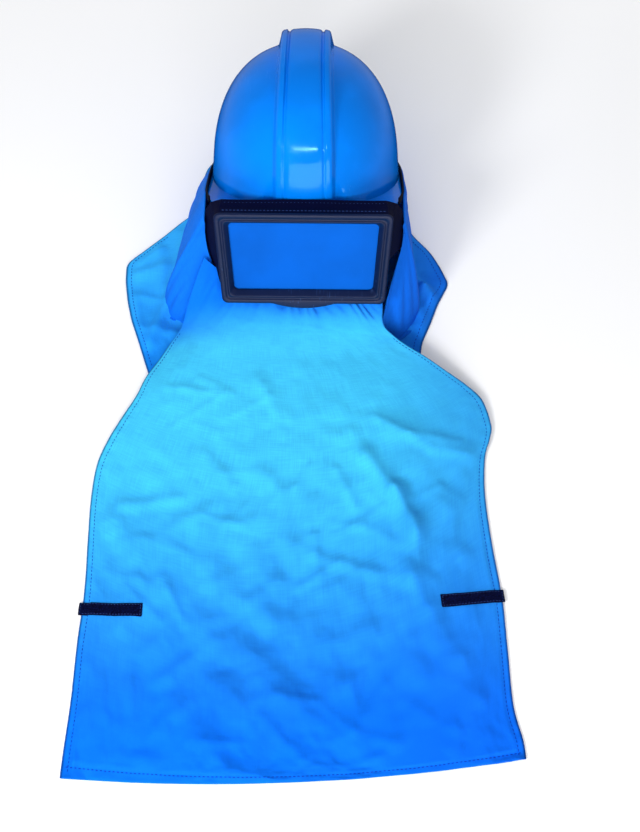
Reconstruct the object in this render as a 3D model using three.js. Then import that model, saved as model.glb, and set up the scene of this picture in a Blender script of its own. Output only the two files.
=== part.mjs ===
// Sandblasting hood, set down on a flat surface. The hard shell stands on its rear rim, leaning
// back, and the cloth spreads over the surface on its window side.
// Millimetres, +Z up, surface at Z = 0, window side towards -Y.
import * as THREE from 'three';

// Shell
const SHELL_HALF_WIDTH = 106.6;
const SHELL_FRONT_REACH = 117;
const SHELL_REAR_REACH = 125;
const SHELL_RISE = 146;
const SHELL_WALL = 2.6;
const SHELL_PLAN_POWER = 2.05;
const SHELL_SIDE_POWER = 2.65;
const SHELL_TOP_POWER = 2.4;
const BASE_LEVEL = -0.6;
const BASE_SLOPE = 0.189;

// Brim
const BRIM_HALF_WIDTH = SHELL_HALF_WIDTH + 2.4;
const BRIM_FRONT_REACH = SHELL_FRONT_REACH + 14;
const BRIM_REAR_REACH = SHELL_REAR_REACH + 5;
const BRIM_DROP = 3;
const BRIM_FRONT_POWER = 5;
const BRIM_REAR_POWER = 2.4;
const BRIM_ROUNDING = 0.6;

// Moulded ridge
const RIDGE_CROWN_HEIGHT = 16;
const RIDGE_FRONT_HEIGHT = 4.5;
const RIDGE_REAR_HEIGHT = 2.5;
const RIDGE_SPREAD = 0.03;

// Window frame and pane
const FRAME_TOP_WIDTH = 195.5;
const FRAME_BOTTOM_WIDTH = 181.5;
const FRAME_TOP = 24.7;
const FRAME_HEIGHT = 112.6;
const FRAME_FACE = 148.2;
const FRAME_DEPTH = 16.2;
const FRAME_CORNER = 9;
const FRAME_BORDER = 14.5;
const FRAME_LIP = 3;
const TAB_HALF_WIDTH = 35;
const TAB_DROP = 6;
const PANE_THICKNESS = 1.5;
const PANE_SEAT = 4;

// Strips and edging
const FLANGE_THICKNESS = 2;
const FLANGE_RIGHT_END = 0.78;
const BAND_THICKNESS = 1.8;
const BAND_HEIGHT = 8;
const BAND_START = 101;
const BAND_OUTSET = 0.6;
const BAND_RISE = 1;
const STRAP_LENGTH = 66;
const STRAP_WIDTH = 13.5;
const STRAP_THICKNESS = 1.6;

// Cloth
const CLOTH_WALL = 2;
const SKIRT_WALL = 1.8;
const SKIRT_OVERLAP = 3;
const SKIRT_FRONT_DROP = 16;
const SKIRT_LEAN = 6;
const BIB_HALF_WIDTH = 230;
const BIB_LENGTH = 540;
const BIB_TUCK = 17.44;
const BIB_SLACK = 3.38;
const CAPE_HALF_WIDTH = 212;
const CAPE_LENGTH = 764;
const CAPE_REAR = 398;

// Placing and clearance
const RECLINE = THREE.MathUtils.degToRad(24);
const RIM_Y = 278.7;
const RIM_REST = 4.79;
const GAP = 0.35;

// The shell's middle stands as high as the lean needs for its rear rim to rest on the cape.
const REAR_FALL = BRIM_DROP - BASE_LEVEL + BASE_SLOPE * BRIM_REAR_REACH;
const RIM_Z = RIM_REST + BRIM_REAR_REACH * Math.sin(RECLINE) + REAR_FALL * Math.cos(RECLINE);

// The bib starts behind the window frame's bottom edge, and below it by its slack.
const FRAME_BOTTOM = FRAME_TOP - FRAME_HEIGHT;
const BIB_TOP = RIM_Y - FRAME_FACE * Math.cos(RECLINE) + FRAME_BOTTOM * Math.sin(RECLINE) + BIB_TUCK;
const BIB_LIFT = RIM_Z + FRAME_FACE * Math.sin(RECLINE) + FRAME_BOTTOM * Math.cos(RECLINE) - BIB_SLACK;

// The strip's top lies behind the frame and clears the shell and its ridge.
const ROOF_WIDTH = FRAME_TOP_WIDTH * 0.445;
const ROOF_MIDDLE = SHELL_FRONT_REACH + RIDGE_FRONT_HEIGHT + 1.3;
const ROOF_SIDE = SHELL_FRONT_REACH + 2;
const ROOF_LEVEL = FRAME_TOP - 2.5;

// A closed solid built up from points and faces.
class Body {
  constructor() {
    this.points = [];
    this.faces = [];
    this.known = new Map();
  }

  point(p) {
    const key = p.map((v) => Math.round(v * 400)).join(' ');
    if (!this.known.has(key)) {
      this.known.set(key, this.points.length);
      this.points.push(p);
    }
    return this.known.get(key);
  }

  triangle(a, b, c) {
    const corners = [this.point(a), this.point(b), this.point(c)];
    if (new Set(corners).size === 3) {
      this.faces.push(corners);
    }
  }

  quad(a, b, c, d) {
    this.triangle(a, b, c);
    this.triangle(a, c, d);
  }

  volume() {
    let sum = 0;
    for (const face of this.faces) {
      const [a, b, c] = face.map((i) => new THREE.Vector3(...this.points[i]));
      sum += a.dot(b.cross(c)) / 6;
    }
    return sum;
  }

  mesh(name, finish) {
    const outward = this.volume() > 0;
    const faces = outward ? this.faces : this.faces.map(([a, b, c]) => [a, c, b]);
    const geometry = new THREE.BufferGeometry();
    geometry.setAttribute('position', new THREE.Float32BufferAttribute(this.points.flat(), 3));
    geometry.setIndex(faces.flat());
    geometry.computeVertexNormals();
    const mesh = new THREE.Mesh(geometry, new THREE.MeshStandardMaterial(finish));
    mesh.name = name;
    return mesh;
  }
}

const mix = (a, b, share) => a + (b - a) * share;
const mixPoints = (p, q, share) => p.map((v, i) => mix(v, q[i], share));
const signedPower = (value, power) => Math.sign(value) * Math.abs(value) ** power;
const range = (count) => Array.from({ length: count }, (_, i) => i);

// Shell coordinates: x across, f towards the window side, u up through the crown.
function shellToWorld(x, f, u) {
  return [
    x,
    RIM_Y - f * Math.cos(RECLINE) + u * Math.sin(RECLINE),
    RIM_Z + f * Math.sin(RECLINE) + u * Math.cos(RECLINE),
  ];
}

// Two grids of points, joined at their edges into one wall.
function wallBetween(upper, lower) {
  const body = new Body();
  const rows = upper.length;
  const cols = upper[0].length;
  for (let i = 0; i < rows - 1; i += 1) {
    for (let j = 0; j < cols - 1; j += 1) {
      body.quad(upper[i][j], upper[i][j + 1], upper[i + 1][j + 1], upper[i + 1][j]);
      body.quad(lower[i][j + 1], lower[i][j], lower[i + 1][j], lower[i + 1][j + 1]);
    }
  }
  for (let i = 0; i < rows - 1; i += 1) {
    body.quad(upper[i][0], upper[i + 1][0], lower[i + 1][0], lower[i][0]);
    body.quad(upper[i + 1][cols - 1], upper[i][cols - 1], lower[i][cols - 1], lower[i + 1][cols - 1]);
  }
  for (let j = 0; j < cols - 1; j += 1) {
    body.quad(upper[0][j + 1], upper[0][j], lower[0][j], lower[0][j + 1]);
    body.quad(upper[rows - 1][j], upper[rows - 1][j + 1], lower[rows - 1][j + 1], lower[rows - 1][j]);
  }
  return body;
}

// Unit normals of a grid of points, turned upwards on the whole.
function gridNormals(grid) {
  const at = (i, j) => new THREE.Vector3(...grid[i][j]);
  const normals = grid.map((row, i) =>
    row.map((p, j) => {
      const down = at(Math.min(i + 1, grid.length - 1), j).sub(at(Math.max(i - 1, 0), j));
      const along = at(i, Math.min(j + 1, row.length - 1)).sub(at(i, Math.max(j - 1, 0)));
      return down.cross(along).normalize().toArray();
    }),
  );
  const up = normals.flat().reduce((sum, n) => sum + n[2], 0);
  return up > 0 ? normals : normals.map((row) => row.map((n) => n.map((v) => -v)));
}

// Closed loops joined one to the next, and the last one to the first.
function closedLoops(loops) {
  const body = new Body();
  const count = loops[0].length;
  loops.forEach((loop, k) => {
    const next = loops[(k + 1) % loops.length];
    for (let i = 0; i < count; i += 1) {
      const j = (i + 1) % count;
      body.quad(loop[i], loop[j], next[j], next[i]);
    }
  });
  return body;
}

// Closed sections joined along a path, with a flat cap at each end.
function capped(sections) {
  const body = new Body();
  const count = sections[0].length;
  for (let k = 0; k < sections.length - 1; k += 1) {
    for (let i = 0; i < count; i += 1) {
      const j = (i + 1) % count;
      body.quad(sections[k][i], sections[k][j], sections[k + 1][j], sections[k + 1][i]);
    }
  }
  const first = sections[0];
  const last = sections[sections.length - 1];
  for (let i = 1; i < count - 1; i += 1) {
    body.triangle(first[0], first[i + 1], first[i]);
    body.triangle(last[0], last[i], last[i + 1]);
  }
  return body;
}

// Values between the rows of a table, by the share of the way down it.
function between(table, share) {
  const place = Math.min(Math.max(share, 0), 1) * (table.length - 1);
  const row = Math.min(Math.floor(place), table.length - 2);
  return table[row].map((v, i) => mix(v, table[row + 1][i], place - row));
}

// Half the shell's width: where each length of the surface runs, and how much of the ridge's
// height it carries.
const SHELL_LINES = [
  // [share of half width, share of ridge height]
  [0, 0.94],
  [0.09, 0.94],
  [0.155, 0.9],
  [0.175, 0.76],
  [0.205, 1],
  [0.24, 1],
  [0.262, 0.86],
  [0.298, 0],
  [0.4, 0],
  [0.5, 0],
  [0.6, 0],
  [0.7, 0],
  [0.79, 0],
  [0.87, 0],
  [0.93, 0],
  [0.97, 0],
  [0.99, 0],
  [1, 0],
];
const SHELL_ACROSS = [
  ...SHELL_LINES.slice(1).reverse().map(([share, ridge]) => [-share, ridge]),
  ...SHELL_LINES,
];
const SHELL_TURNS = range(21).map((i) => (Math.PI * i) / 20);

const baseLevel = (f) => BASE_LEVEL + BASE_SLOPE * f;
const rimLevel = (f) => baseLevel(f) - BRIM_DROP;

// Point of the shell's surface in shell coordinates, a distance inside the plain outer surface.
function shellPoint(line, turn, inset) {
  const reach = (Math.cos(turn) > 0 ? SHELL_FRONT_REACH : SHELL_REAR_REACH) - inset;
  const nearRidge = Math.abs(line[0]) > 0.12 && Math.abs(line[0]) < 0.35 ? 1 : 0;
  const widening = RIDGE_SPREAD * Math.cos(turn) ** 2 - (0.85 * inset) / SHELL_HALF_WIDTH;
  const share = line[0] + Math.sign(line[0]) * nearRidge * widening;
  const chord = (1 - Math.abs(share) ** SHELL_PLAN_POWER) ** (1 / SHELL_PLAN_POWER);
  const x = (SHELL_HALF_WIDTH - inset) * share;
  const f = reach * chord * signedPower(Math.cos(turn), 0.755);
  const plan = Math.min(1, Math.abs(share) ** SHELL_PLAN_POWER + Math.abs(f / reach) ** SHELL_PLAN_POWER);
  const rho = plan ** (1 / SHELL_PLAN_POWER);
  const height = Math.max(0, 1 - rho ** SHELL_SIDE_POWER) ** (1 / SHELL_TOP_POWER);
  const u = mix(baseLevel(f), SHELL_RISE - inset, height);
  if (line[1] === 0) {
    return [x, f, u];
  }
  const end = Math.cos(turn) > 0 ? RIDGE_FRONT_HEIGHT : RIDGE_REAR_HEIGHT;
  const proud = line[1] * mix(end, RIDGE_CROWN_HEIGHT, Math.sin(turn) ** 1.3);
  const out = new THREE.Vector2(f, u - 15).normalize();
  return [x, f + proud * out.x, u + proud * out.y];
}

// Point of the brim's outer edge that belongs to a point of the shell's base.
function brimPoint(share, front, outset) {
  const sine = Math.abs(share) ** (SHELL_PLAN_POWER / 2);
  const cosine = Math.sqrt(Math.max(0, 1 - Math.abs(share) ** SHELL_PLAN_POWER));
  const power = 2 / (front ? BRIM_FRONT_POWER : BRIM_REAR_POWER);
  const reach = front ? BRIM_FRONT_REACH : -BRIM_REAR_REACH;
  const x = Math.sign(share) * BRIM_HALF_WIDTH * sine ** power;
  const f = reach * cosine ** power;
  const scale = 1 + outset / Math.hypot(x, f);
  return [x * scale, f * scale, rimLevel(f)];
}

// The brim's edge as a fine closed line in plan, from the middle of the front round by +X.
function brimEdge(outset) {
  const shares = range(121).map((i) => Math.sin((Math.PI * i) / 240));
  const front = shares.map((s) => brimPoint(s, true, outset));
  const rear = [...shares].reverse().map((s) => brimPoint(s, false, outset));
  const right = [...front, ...rear.slice(1)];
  const left = right.slice(1, -1).reverse().map(([x, f, u]) => [-x, f, u]);
  return [...right, ...left];
}

function helmetShell() {
  const body = new Body();
  const outer = SHELL_TURNS.map((t) => SHELL_ACROSS.map((line) => shellPoint(line, t, 0)));
  const inner = SHELL_TURNS.map((t) => SHELL_ACROSS.map((line) => shellPoint(line, t, SHELL_WALL)));
  const rows = outer.length;
  const cols = outer[0].length;
  const place = (p) => shellToWorld(...p);
  for (let i = 0; i < rows - 1; i += 1) {
    for (let j = 0; j < cols - 1; j += 1) {
      body.quad(...[outer[i][j], outer[i][j + 1], outer[i + 1][j + 1], outer[i + 1][j]].map(place));
      body.quad(...[inner[i][j + 1], inner[i][j], inner[i + 1][j], inner[i + 1][j + 1]].map(place));
    }
  }
  const around = (grid) => [...grid[0], ...grid[rows - 1].slice(1, -1).reverse()];
  const shares = [
    ...SHELL_ACROSS.map(([share]) => [share, true]),
    ...SHELL_ACROSS.slice(1, -1).reverse().map(([share]) => [share, false]),
  ];
  const edge = (outset, drop) =>
    shares.map(([share, front]) => {
      const [x, f, u] = brimPoint(share, front, outset);
      return [x, f, u - drop];
    });
  const blend = (from, to, drop) =>
    from.map((p, i) => {
      const [x, f, u] = mixPoints(p, to[i], 0.5);
      return [x, f, u - drop];
    });
  const rings = [
    around(outer),
    blend(around(outer), edge(0, 0), 0.6),
    edge(0, 0),
    edge(BRIM_ROUNDING, SHELL_WALL / 2),
    edge(0, SHELL_WALL),
    blend(around(inner), edge(0, SHELL_WALL), 1),
    around(inner),
  ].map((ring) => ring.map(place));
  for (let k = 0; k < rings.length - 1; k += 1) {
    for (let i = 0; i < shares.length; i += 1) {
      const j = (i + 1) % shares.length;
      body.quad(rings[k][j], rings[k][i], rings[k + 1][i], rings[k + 1][j]);
    }
  }
  return body.mesh('helmet_shell', { color: 0x1478e6, roughness: 0.18, metalness: 0 });
}

// Evenly spaced points along a line.
function resample(points, count) {
  const lengths = [0];
  for (let i = 1; i < points.length; i += 1) {
    const step = Math.hypot(...points[i].map((v, k) => v - points[i - 1][k]));
    lengths.push(lengths[i - 1] + step);
  }
  const total = lengths[lengths.length - 1];
  return range(count).map((n) => {
    const at = (total * n) / (count - 1);
    const i = Math.min(points.length - 2, Math.max(0, lengths.findIndex((v) => v >= at) - 1));
    const share = (at - lengths[i]) / (lengths[i + 1] - lengths[i]);
    return mixPoints(points[i], points[i + 1], share);
  });
}

// The part of the brim's edge behind a given reach, from +X round the rear to -X.
function brimTrack(reach, count) {
  const line = brimEdge(BRIM_ROUNDING);
  const half = Math.floor(line.length / 2);
  const kept = line.filter((p, i) => p[1] <= reach || (i > half / 2 && i < half * 1.5 && p[1] < 0));
  return resample(kept, count);
}

// Outward direction in plan at each point of a track.
function trackNormals(track) {
  return track.map((p, i) => {
    const a = track[Math.max(0, i - 1)];
    const b = track[Math.min(track.length - 1, i + 1)];
    const normal = new THREE.Vector2(a[1] - b[1], b[0] - a[0]).normalize();
    return normal.dot(new THREE.Vector2(p[0], p[1])) > 0 ? normal : normal.negate();
  });
}

function rimBand() {
  const track = brimTrack(BAND_START, 35);
  const normals = trackNormals(track);
  const sections = track.map(([x, f, u], i) => {
    const n = normals[i];
    const low = u - SHELL_WALL + BAND_RISE;
    return [
      [BAND_OUTSET, low],
      [BAND_OUTSET + BAND_THICKNESS, low + 0.5],
      [BAND_OUTSET + BAND_THICKNESS, low + BAND_HEIGHT - 0.5],
      [BAND_OUTSET, low + BAND_HEIGHT],
    ].map(([out, level]) => shellToWorld(x + n.x * out, f + n.y * out, level));
  });
  return capped(sections).mesh('rim_band', { color: 0x10141f, roughness: 0.7, metalness: 0 });
}

// Half the window frame's width at a level of the shell's coordinates.
function frameHalf(u) {
  const share = (u - FRAME_TOP + FRAME_HEIGHT) / FRAME_HEIGHT;
  return mix(FRAME_BOTTOM_WIDTH, FRAME_TOP_WIDTH, share) / 2;
}

// Outline of the window frame a distance inside its outer edge, as [x, u] points.
function frameOutline(inset) {
  const top = FRAME_TOP - inset;
  const bottom = FRAME_TOP - FRAME_HEIGHT + inset;
  const radius = Math.max(FRAME_CORNER - inset * 0.4, 3);
  const half = (u) => frameHalf(u) - inset;
  const corner = (side, level, from) =>
    range(5).map((i) => {
      const angle = from + (Math.PI * i) / 8;
      const u = level + (level > -30 ? -radius : radius);
      return [side * (half(u) - radius) + radius * Math.cos(angle), u + radius * Math.sin(angle)];
    });
  const tab = (x) => TAB_DROP * Math.max(0, 1 - (x / TAB_HALF_WIDTH) ** 2) * (inset > FRAME_LIP ? 0 : 1);
  const across = (count) => range(count).map((i) => mix(-1, 1, (i + 1) / (count + 1)));
  const reach = half(bottom) - radius;
  const right = corner(1, top, 0);
  const left = corner(-1, top, Math.PI / 2);
  const lowLeft = corner(-1, bottom, Math.PI);
  const lowRight = corner(1, bottom, Math.PI * 1.5);
  const low = across(9).map((s) => [s * reach, bottom - tab(s * reach)]);
  const high = across(5).map((s) => [-s * (half(top) - radius), top]);
  return [...right, ...high, ...left, ...lowLeft, ...low, ...lowRight];
}

const FRAME_PROFILE = [
  // [inset from the outer edge, distance behind the face]
  [FRAME_LIP, FRAME_DEPTH],
  [FRAME_LIP, 3.4],
  [0, 3.4],
  [0, 1.6],
  [2, 0],
  [5, 0.2],
  [7, 1.6],
  [9.5, 0.6],
  [FRAME_BORDER, 7],
  [FRAME_BORDER, 8.8],
  [FRAME_BORDER - PANE_SEAT, 8.8],
  [FRAME_BORDER - PANE_SEAT, FRAME_DEPTH],
];

function visorFrame() {
  const loops = FRAME_PROFILE.map(([inset, behind]) =>
    frameOutline(inset).map(([x, u]) => shellToWorld(x, FRAME_FACE - behind, u)),
  );
  return closedLoops(loops).mesh('visor_frame', { color: 0x171f2c, roughness: 0.45, metalness: 0 });
}

function visorLens() {
  const outline = frameOutline(FRAME_BORDER - PANE_SEAT + GAP);
  const front = FRAME_FACE - 8.8 - GAP;
  const loop = (f) => outline.map(([x, u]) => shellToWorld(x, f, u));
  const body = capped([loop(front), loop(front - PANE_THICKNESS)]);
  return body.mesh('visor_lens', { color: 0x146feb, roughness: 0.3, metalness: 0 });
}

// The strip's rear edge on one side, from the frame's bottom corner up to the brim.
const FLANGE_SIDE = [
  // [x, f, u] as shares of frame half width, frame face and frame height
  [0.985, 0.775, -0.66],
  [1.03, 0.73, -0.54],
  [1.09, 0.69, -0.36],
  [1.112, 0.668, -0.17],
  [1.107, 0.672, -0.03],
  [1.088, 0.7, 0.065],
  [1.056, 0.733, 0.125],
  [1.03, 0.758, 0.175],
];
const flangeRear = FLANGE_SIDE.map(([x, f, u]) => [
  (x * FRAME_TOP_WIDTH) / 2,
  f * FRAME_FACE,
  u * FRAME_HEIGHT,
]);

function visorFlange() {
  const sideCount = flangeRear.length;
  const hug = FRAME_LIP - GAP;
  const front = FRAME_FACE - 3.4 - GAP;
  const radius = FRAME_CORNER - FRAME_LIP * 0.4 + GAP;
  const side = range(sideCount).map((k) => {
    const share = k / (sideCount - 1);
    const u = mix(FRAME_TOP - FRAME_HEIGHT * 0.88, FRAME_TOP - hug - radius, share ** 0.8);
    return { near: [frameHalf(u) - hug, front, u], far: flangeRear[k], out: [1, 0] };
  });
  const corner = [0.25, 0.5, 0.75].map((share) => {
    const angle = (share * Math.PI) / 2;
    const x = frameHalf(FRAME_TOP) - hug - radius + radius * Math.cos(angle);
    const u = FRAME_TOP - hug - radius + radius * Math.sin(angle);
    const far = mixPoints(flangeRear[sideCount - 1], [ROOF_WIDTH + 1, ROOF_SIDE - 0.5, ROOF_LEVEL], share);
    return { near: [x, front, u], far, out: [Math.cos(angle), Math.sin(angle)] };
  });
  const roof = [1, 0.75, 0.5, 0.25].map((share) => ({
    near: [share * (frameHalf(FRAME_TOP) - hug - radius), front, FRAME_TOP - hug],
    far: [share * ROOF_WIDTH, mix(ROOF_MIDDLE, ROOF_SIDE, share ** 4), ROOF_LEVEL],
    out: [0, 1],
  }));
  const half = [...side, ...corner, ...roof];
  const middle = [{ near: [0, front, FRAME_TOP - hug], far: [0, ROOF_MIDDLE, ROOF_LEVEL], out: [0, 1] }];
  const flip = ({ near, far, out }) => ({
    near: [-near[0], near[1], near[2]],
    far: [-far[0], far[1], far[2]],
    out: [-out[0], out[1]],
  });
  const skipped = Math.round((1 - FLANGE_RIGHT_END) * sideCount);
  const rightHalf = [...half].reverse().slice(0, half.length - skipped);
  const stations = [...half.map(flip), ...middle, ...rightHalf];
  const row = (share, outset) =>
    stations.map(({ near, far, out }) => {
      const hugging = [near[0], FRAME_FACE - FRAME_DEPTH - GAP, near[2]];
      const behind = mixPoints(far, hugging, Math.min(1, share / 0.6));
      const [x, f, u] = mixPoints(behind, near, Math.max(0, (share - 0.6) / 0.4));
      return shellToWorld(x + out[0] * outset, f, u + out[1] * outset);
    });
  const shares = [0, 0.3, 0.6, 1];
  const upper = shares.map((share) => row(share, FLANGE_THICKNESS));
  const lower = shares.map((share) => row(share, 0));
  return wallBetween(upper, lower).mesh('visor_flange', { color: 0x0a1a4a, roughness: 0.75, metalness: 0 });
}

// Back cape: outline of the flat panel, from behind the shell to under the bib's hem.
const CAPE_ROWS = [
  // [share of length, left and right edge as shares of half width]
  [0, -0.26, 0.26],
  [0.013, -0.38, 0.36],
  [0.032, -0.5, 0.47],
  [0.06, -0.58, 0.53],
  [0.094, -0.61, 0.545],
  [0.13, -0.632, 0.555],
  [0.153, -0.64, 0.56],
  [0.172, -0.715, 0.565],
  [0.195, -0.79, 0.61],
  [0.225, -0.9, 0.7],
  [0.252, -1, 0.75],
  [0.285, -0.997, 0.797],
  [0.324, -0.975, 0.731],
  [0.358, -0.945, 0.69],
  [0.393, -0.9, 0.64],
  [0.435, -0.85, 0.62],
  [0.475, -0.8, 0.8],
  [0.515, -0.87, 0.89],
  [0.56, -0.94, 0.865],
  [0.64, -0.975, 0.855],
  [0.75, -0.97, 0.9],
  [0.88, -0.975, 0.93],
  [1, -0.985, 0.95],
];
const capeAcross = range(9).map((i) => mix(-1, 1, i / 8));

function backCape() {
  const row = ([down, left, right], level) =>
    capeAcross.map((s) => [
      CAPE_HALF_WIDTH * mix(left, right, (s + 1) / 2),
      CAPE_REAR - CAPE_LENGTH * down,
      level,
    ]);
  const upper = CAPE_ROWS.map((r) => row(r, CLOTH_WALL));
  const lower = CAPE_ROWS.map((r) => row(r, 0));
  return wallBetween(upper, lower).mesh('back_cape', { color: 0x2a7fe0, roughness: 0.85, metalness: 0 });
}

// Neck skirt: where its foot stands on the cape, from the window side round the rear.
const SKIRT_FOOT_LEFT = [
  // [x, y] as shares of cape half width and of rim distance
  [-0.765, 0.425],
  [-0.79, 0.47],
  [-0.77, 0.54],
  [-0.73, 0.63],
  [-0.69, 0.72],
  [-0.66, 0.81],
  [-0.64, 0.91],
  [-0.625, 1.0],
  [-0.6, 1.09],
  [-0.555, 1.18],
  [-0.49, 1.265],
  [-0.37, 1.345],
  [-0.2, 1.392],
  [0, 1.405],
];
const SKIRT_FOOT_RIGHT = [
  [0.6, 0.42],
  [0.63, 0.47],
  [0.65, 0.54],
  [0.64, 0.63],
  [0.585, 0.72],
  [0.53, 0.81],
  [0.5, 0.91],
  [0.49, 1.0],
  [0.48, 1.09],
  [0.46, 1.18],
  [0.42, 1.265],
  [0.34, 1.345],
  [0.2, 1.392],
  [0, 1.405],
];

function neckSkirt() {
  const sidePoints = flangeRear.slice(0, 5).map(([x, f, u], k) => [
    x + FLANGE_THICKNESS + GAP,
    f + SKIRT_OVERLAP,
    k === 0 ? u - SKIRT_FRONT_DROP : u,
  ]);
  const whole = brimTrack(BAND_START, 35);
  const away = trackNormals(whole);
  const outset = BAND_OUTSET + BAND_THICKNESS + GAP;
  const level = SKIRT_OVERLAP + BAND_RISE - SHELL_WALL;
  const bandPoints = whole
    .map(([x, f, u], i) => [x + away[i].x * outset, f + away[i].y * outset, u + level])
    .slice(1, -1);
  const mirrored = [...sidePoints].reverse().map(([x, f, u]) => [-x, f, u]);
  const top = [...sidePoints, ...bandPoints, ...mirrored];
  const count = top.length;
  const half = (count - 1) / 2;
  const foot = (k) => {
    const right = k <= half;
    const share = (right ? k : count - 1 - k) / half;
    const [x, y] = between(right ? SKIRT_FOOT_RIGHT : SKIRT_FOOT_LEFT, share);
    return [x * CAPE_HALF_WIDTH, y * RIM_Y, CLOTH_WALL + GAP];
  };
  const rows = [0, 0.12, 0.3, 0.5, 0.7, 0.87, 1, 1.12];
  const inner = rows.map((down) =>
    top.map((at, k) => {
      const start = shellToWorld(...at);
      const end = foot(k);
      const share = Math.min(down, 1);
      const spread = new THREE.Vector2(end[0], end[1] - RIM_Y).normalize();
      const lean = spread.x * (end[0] - start[0]) + spread.y * (end[1] - start[1]);
      const push = Math.max(0, SKIRT_LEAN - lean) * share;
      const tall = Math.min(1, (start[2] - end[2]) / 80);
      const bulge = 9 * tall ** 2 * Math.sin(Math.PI * share) + 40 * Math.max(0, down - 1) + push;
      const [x, y, z] = mixPoints(start, end, share);
      return [x + spread.x * bulge, y + spread.y * bulge, z];
    }),
  );
  const normals = gridNormals(inner);
  const outer = inner.map((row, i) =>
    row.map((p, j) => {
      const tall = Math.min(1, (inner[0][j][2] - CLOTH_WALL) / 40);
      const bent = mixPoints(normals[0][j], [0, 0, 1], Math.min(rows[i], 1));
      const flat = Math.max(0, rows[i] - 0.8) / 0.32;
      const lean = mixPoints(mixPoints(bent, normals[i][j], tall), [0, 0, 1], flat);
      const size = SKIRT_WALL / Math.hypot(...lean);
      return p.map((v, k) => v + lean[k] * size);
    }),
  );
  const body = wallBetween(outer, inner);
  return body.mesh('neck_skirt', { color: 0x2a7fe0, roughness: 0.85, metalness: 0 });
}

// Front bib: its left edge, middle and right edge, from the window frame down to the hem.
const BIB_ROWS = [
  // shares: [left x, left down, left lift, middle down, middle lift, right x, right down, right lift]
  [-0.508, -0.02, 1.03, 0.007, 0.97, 0.383, 0.011, 0.97],
  [-0.548, -0.003, 0.82, 0.019, 0.92, 0.386, 0.028, 0.88],
  [-0.581, 0.009, 0.517, 0.033, 0.833, 0.384, 0.047, 0.783],
  [-0.599, 0.018, 0.3, 0.05, 0.7, 0.4, 0.059, 0.65],
  [-0.625, 0.037, 0.167, 0.072, 0.583, 0.445, 0.071, 0.533],
  [-0.667, 0.065, 0.108, 0.109, 0.517, 0.499, 0.086, 0.467],
  [-0.714, 0.102, 0.083, 0.157, 0.483, 0.602, 0.111, 0.383],
  [-0.774, 0.146, 0.077, 0.217, 0.45, 0.7, 0.139, 0.3],
  [-0.815, 0.193, 0.077, 0.278, 0.417, 0.797, 0.166, 0.2],
  [-0.879, 0.248, 0.077, 0.346, 0.367, 0.874, 0.198, 0.133],
  [-0.932, 0.298, 0.073, 0.413, 0.317, 0.913, 0.254, 0.083],
  [-0.975, 0.354, 0.037, 0.472, 0.267, 0.902, 0.289, 0.077],
  [-0.987, 0.433, 0.037, 0.537, 0.217, 0.877, 0.329, 0.037],
  [-0.982, 0.522, 0.037, 0.617, 0.167, 0.868, 0.413, 0.037],
  [-0.976, 0.597, 0.037, 0.698, 0.142, 0.889, 0.524, 0.037],
  [-0.976, 0.66, 0.037, 0.772, 0.125, 0.922, 0.636, 0.037],
  [-0.985, 0.741, 0.037, 0.843, 0.108, 0.933, 0.732, 0.037],
  [-0.987, 0.85, 0.037, 0.913, 0.093, 0.945, 0.85, 0.037],
  [-0.997, 0.941, 0.037, 0.972, 0.08, 0.979, 0.917, 0.037],
  [-1.001, 0.997, 0.037, 1.0, 0.037, 0.987, 0.952, 0.037],
];

// Folds of the bib, each a rounded ridge along a straight line.
const BIB_FOLDS = [
  // shares: [from x, from down, to x, to down, height, width]
  [0.31, 0.346, 0.443, 0.424, 0.1, 0.05],
  [0.443, 0.424, 0.53, 0.51, 0.12, 0.05],
  [0.53, 0.51, 0.5, 0.59, 0.1, 0.06],
  [0.65, 0.44, 0.54, 0.5, 0.08, 0.05],
  [0.5, 0.6, 0.8, 0.835, 0.08, 0.06],
  [-0.585, 0.5, -0.59, 0.73, 0.06, 0.06],
  [-0.07, 0.84, 0.27, 0.94, 0.07, 0.06],
  [-0.9, 0.49, -0.62, 0.62, 0.06, 0.07],
  [0.43, 0.28, 0.83, 0.33, 0.07, 0.05],
  [-0.35, 0.62, 0.1, 0.75, 0.05, 0.07],
];

function foldLift(x, down) {
  let lift = 0;
  for (const [x1, d1, x2, d2, height, width] of BIB_FOLDS) {
    const from = new THREE.Vector2(x1 * BIB_HALF_WIDTH, d1 * BIB_LENGTH);
    const along = new THREE.Vector2(x2 * BIB_HALF_WIDTH, d2 * BIB_LENGTH).sub(from);
    const offset = new THREE.Vector2(x * BIB_HALF_WIDTH, down * BIB_LENGTH).sub(from);
    const share = THREE.MathUtils.clamp(offset.dot(along) / along.lengthSq(), 0, 1);
    const away = offset.sub(along.multiplyScalar(share)).length() / (width * BIB_HALF_WIDTH);
    lift += height * BIB_LIFT * Math.exp(-(away ** 2));
  }
  return lift;
}

const bibAcross = range(29).map((i) => {
  const s = mix(-1, 1, i / 28);
  return s * (1.12 - 0.12 * s * s);
});
const bibDown = range(37).map((i) => (i < 9 ? i * 0.5 : 4 + ((i - 8) * 15) / 28) / 19);

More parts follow.
